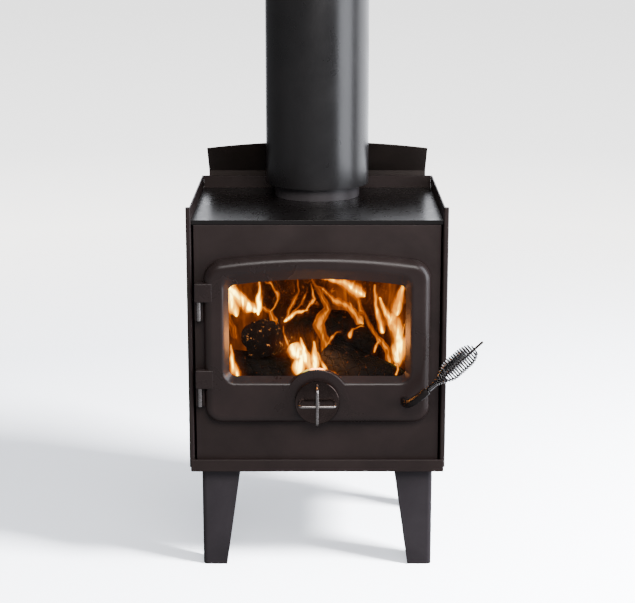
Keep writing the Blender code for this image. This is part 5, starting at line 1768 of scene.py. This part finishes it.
    def sheet(self, name: str, depth: float, tongues: tuple[Tongue, ...], curtain: float,
              seed: float, finish: str, spread: float = 1.0) -> None:
        """A billowing sheet cut to the shape of its flames.

        Args:
            name: The piece's name.
            depth: How far behind the front the sheet stands.
            tongues: The flames on it.
            curtain: The strength of the thin folds of flame between them.
            seed: What makes this sheet's turbulence its own.
            finish: The name of its finish.
            spread: How much wider than the fire the sheet is.
        """
        working = bmesh.new()
        layer = working.verts.layers.float.new("warmth")
        bmesh.ops.create_grid(working, x_segments=self.columns, y_segments=self.rows, size=1.0)
        half = self.half_width * spread
        middle, rise = (self.foot + self.head) / 2, (self.head - self.foot) / 2
        bmesh.ops.scale(working, vec=(half, rise, 1.0), verts=working.verts)
        bmesh.ops.rotate(working, cent=(0, 0, 0), matrix=Matrix.Rotation(math.pi / 2, 3, "X"),
                         verts=working.verts)
        bmesh.ops.translate(working, vec=(0.0, 0.0, middle), verts=working.verts)
        verts = list(working.verts)
        x = np.array([vert.co.x for vert in verts])
        z = np.array([vert.co.z for vert in verts])
        offset = Vector((seed, seed * 0.37, seed * 1.7))
        bends, folds, billow = [], [], []
        for vert in verts:
            spot = Vector((vert.co.x * 26, 0.0, vert.co.z * 15)) + offset
            bends.append(noise.noise_vector(spot) * 0.008 + noise.noise_vector(spot * 3.1) * 0.0042
                         + noise.noise_vector(spot * 8.0) * 0.0007)
            swirl = noise.noise_vector(spot * 0.8) * 1.3
            folds.append(noise.fractal(Vector((vert.co.x * 17, 3.0, vert.co.z * 10)) + offset + swirl,
                                       0.9, 2.1, 3))
            billow.append(noise.noise(spot * 0.45) * 0.012)
        bent = np.array([(bend.x, bend.y) for bend in bends])
        heat = self.heat(x + bent[:, 0], z + bent[:, 1] * 1.4, tongues)
        if curtain:
            phase = np.array(folds) * 3.2
            saw = phase - np.floor(phase)
            lines = np.exp(-saw * 7.0) + 0.35 * np.exp(-np.abs(saw - 0.5) * 18)
            rising = np.clip((z - 0.40) / 0.10, 0.15, 1.0)
            heat = np.maximum(heat, curtain * lines * rising)
        for vert, value, wave in zip(verts, heat, billow):
            vert[layer] = float(min(1.0, value))
            vert.co.y += wave
        cold = [face for face in working.faces if all(vert[layer] < 0.035 for vert in face.verts)]
        bmesh.ops.delete(working, geom=cold, context="FACES")
        bmesh.ops.translate(working, vec=self.datum.at(0.0, depth, 0.0), verts=working.verts)
        mesh = bpy.data.meshes.new(name)
        working.to_mesh(mesh)
        working.free()
        mesh.shade_smooth()
        mesh.materials.append(Finishes.get(finish))
        piece = bpy.data.objects.new(name, mesh)
        bpy.context.scene.collection.objects.link(piece)
        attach(piece, Part.STOVE.value)
        LOG.info("%s burns in the firebox", name)

    def glow(self) -> None:
        """The light of the fire on the bricks and on the window's flare."""
        for name, place, power, size in (("fire_glow_low", (0.0, 0.030, 0.410), 1.3, 0.022),
                                         ("fire_glow_left", (-0.09, 0.030, 0.480), 0.08, 0.022),
                                         ("fire_glow_right", (0.10, 0.030, 0.470), 0.05, 0.022)):
            light = bpy.data.lights.new(name, "POINT")
            light.energy = power
            light.color = (1.0, 0.34, 0.08)
            light.shadow_soft_size = size
            lamp = bpy.data.objects.new(name, light)
            lamp.location = self.datum.at(*place)
            bpy.context.scene.collection.objects.link(lamp)


# ---------------------------------------------------------------- studio
@dataclass(frozen=True)
class Softbox:
    """A rectangular studio light, placed around the stove by its bearing from the camera's side."""

    name: str
    azimuth: float
    elevation: float
    distance: float
    size: tuple[float, float]
    power: float
    colour: Colour = (1.0, 1.0, 1.0)
    floor_only: bool = False


@dataclass
class Studio:
    """Camera, backdrop, floor and lights."""

    datum: Datum
    lens: float = 95.62
    camera_back: float = 2.9922
    camera_height: float = 1.2305
    pitch: float = math.radians(13.38)
    boxes: tuple[Softbox, ...] = (
        Softbox("key_right", 67.0, 14.0, 2.6, (1.6, 2.6), 95.0, (0.90, 0.93, 1.0)),
        Softbox("front_fill", 8.0, 34.0, 2.8, (1.8, 1.0), 52.0, (1.0, 0.96, 0.94)),
        Softbox("floor_key", 66.0, 33.0, 3.2, (0.9, 0.7), 1550.0, (1.0, 0.985, 0.98), True),
        Softbox("floor_sky", 10.0, 76.0, 2.6, (2.6, 1.8), 70.0, (0.97, 0.98, 1.0), True),
    )
    floor_piece: bpy.types.Object | None = None

    def camera(self) -> None:
        """The camera in front of the stove, a little above it."""
        data = bpy.data.cameras.new("camera")
        data.sensor_width = 36.0
        data.lens = self.lens
        data.clip_start, data.clip_end = 0.05, 60.0
        camera = bpy.data.objects.new("camera", data)
        camera.location = self.datum.at(0.0005, -self.camera_back, self.camera_height)
        camera.rotation_euler = (math.pi / 2 - self.pitch, 0.0, 0.0)
        bpy.context.scene.collection.objects.link(camera)
        bpy.context.scene.camera = camera

    def floor(self) -> None:
        """The pale floor, which lights no other piece."""
        working = bmesh.new()
        bmesh.ops.create_circle(working, cap_ends=True, segments=96, radius=4.0)
        self.floor_piece = finish_piece(working, "studio_floor", "studio_floor", flat_faces=False)
        self.floor_piece.visible_diffuse = False
        self.floor_piece.visible_glossy = False

    def backdrop(self) -> None:
        """The pale surroundings as seen, and as they light the stove: bright behind and right."""
        world = bpy.data.worlds.new("studio")
        bpy.context.scene.world = world
        world.use_nodes = True
        wire = Wiring(world.node_tree)
        world.node_tree.nodes.clear()
        direction = wire.add("TexCoord").outputs["Generated"]
        parts = wire.add("SeparateXYZ", {0: direction})
        across, away, height = parts.outputs["X"], parts.outputs["Y"], parts.outputs["Z"]
        seen = wire.ramp(wire.spread(height, -0.063, -0.31),
                         [(0.0, (0.222, 0.222, 0.222)), (0.32, (0.285, 0.285, 0.285)),
                          (0.52, (0.40, 0.392, 0.384)), (0.69, (0.54, 0.528, 0.518)),
                          (0.85, (0.72, 0.705, 0.69)), (1.0, (0.86, 0.85, 0.85))])
        look = wire.add("Background", {"Color": seen, "Strength": 11.0})
        side = wire.maths("ADD", away, wire.maths("MULTIPLY", across, 0.6))
        lit = wire.add("MapRange", {0: side, 1: 0.62, 2: 0.95, 3: 0.0, 4: 1.0},
                       interpolation_type="SMOOTHSTEP").outputs[0]
        lit = wire.maths("MULTIPLY", lit, wire.spread(height, 0.45, 0.05, 0.25, 1.0))
        low_front = wire.maths("MULTIPLY", wire.spread(height, 0.0, -0.25),
                               wire.spread(away, 0.1, -0.4))
        strength = wire.maths("ADD", 0.16, wire.maths("MULTIPLY", lit, 4.0))
        strength = wire.maths("ADD", strength, wire.maths("MULTIPLY", low_front, 0.28))
        fill = wire.add("Background", {"Color": (0.92, 0.94, 1.0), "Strength": strength})
        camera_ray = wire.add("LightPath").outputs["Is Camera Ray"]
        mix = wire.add("MixShader", {0: camera_ray, 1: fill.outputs[0], 2: look.outputs[0]})
        output = wire.add("OutputWorld")
        wire.feed(output.inputs["Surface"], mix.outputs[0])

    def lights(self) -> None:
        """The softboxes, all looking at the stove."""
        target = self.datum.at(0.0, 0.15, 0.55)
        only_floor = bpy.data.collections.new("lit_floor")
        only_floor.objects.link(self.floor_piece)
        for box in self.boxes:
            light = bpy.data.lights.new(box.name, "AREA")
            light.shape = "RECTANGLE"
            light.size, light.size_y = box.size
            light.energy = box.power
            light.color = box.colour
            lamp = bpy.data.objects.new(box.name, light)
            azimuth, elevation = math.radians(box.azimuth), math.radians(box.elevation)
            away = Vector((math.sin(azimuth) * math.cos(elevation),
                           -math.cos(azimuth) * math.cos(elevation), math.sin(elevation)))
            lamp.location = target + away * box.distance
            lamp.rotation_mode = "QUATERNION"
            lamp.rotation_quaternion = away.to_track_quat("Z", "Y")
            if box.floor_only:
                lamp.light_linking.receiver_collection = only_floor
            bpy.context.scene.collection.objects.link(lamp)

    def build(self) -> None:
        """Sets the studio up."""
        self.camera()
        self.floor()
        self.backdrop()
        self.lights()


def main() -> None:
    """Builds the studio and the stove."""
    logging.basicConfig(level=logging.INFO, format="%(name)s: %(message)s")
    noise.seed_set(NOISE_SEED)
    datum = Datum.read()
    Studio(datum).build()
    Body(datum).build()
    Lining().build()
    Legs().build()
    Flue(datum).build()
    HeatShield(datum).build()
    door = Door(datum)
    door.build()
    Hinges().build()
    Latch(datum, door.face()).build()
    AirControl(datum).build()
    Fire(datum).build()


if __name__ == "__main__":
    main()
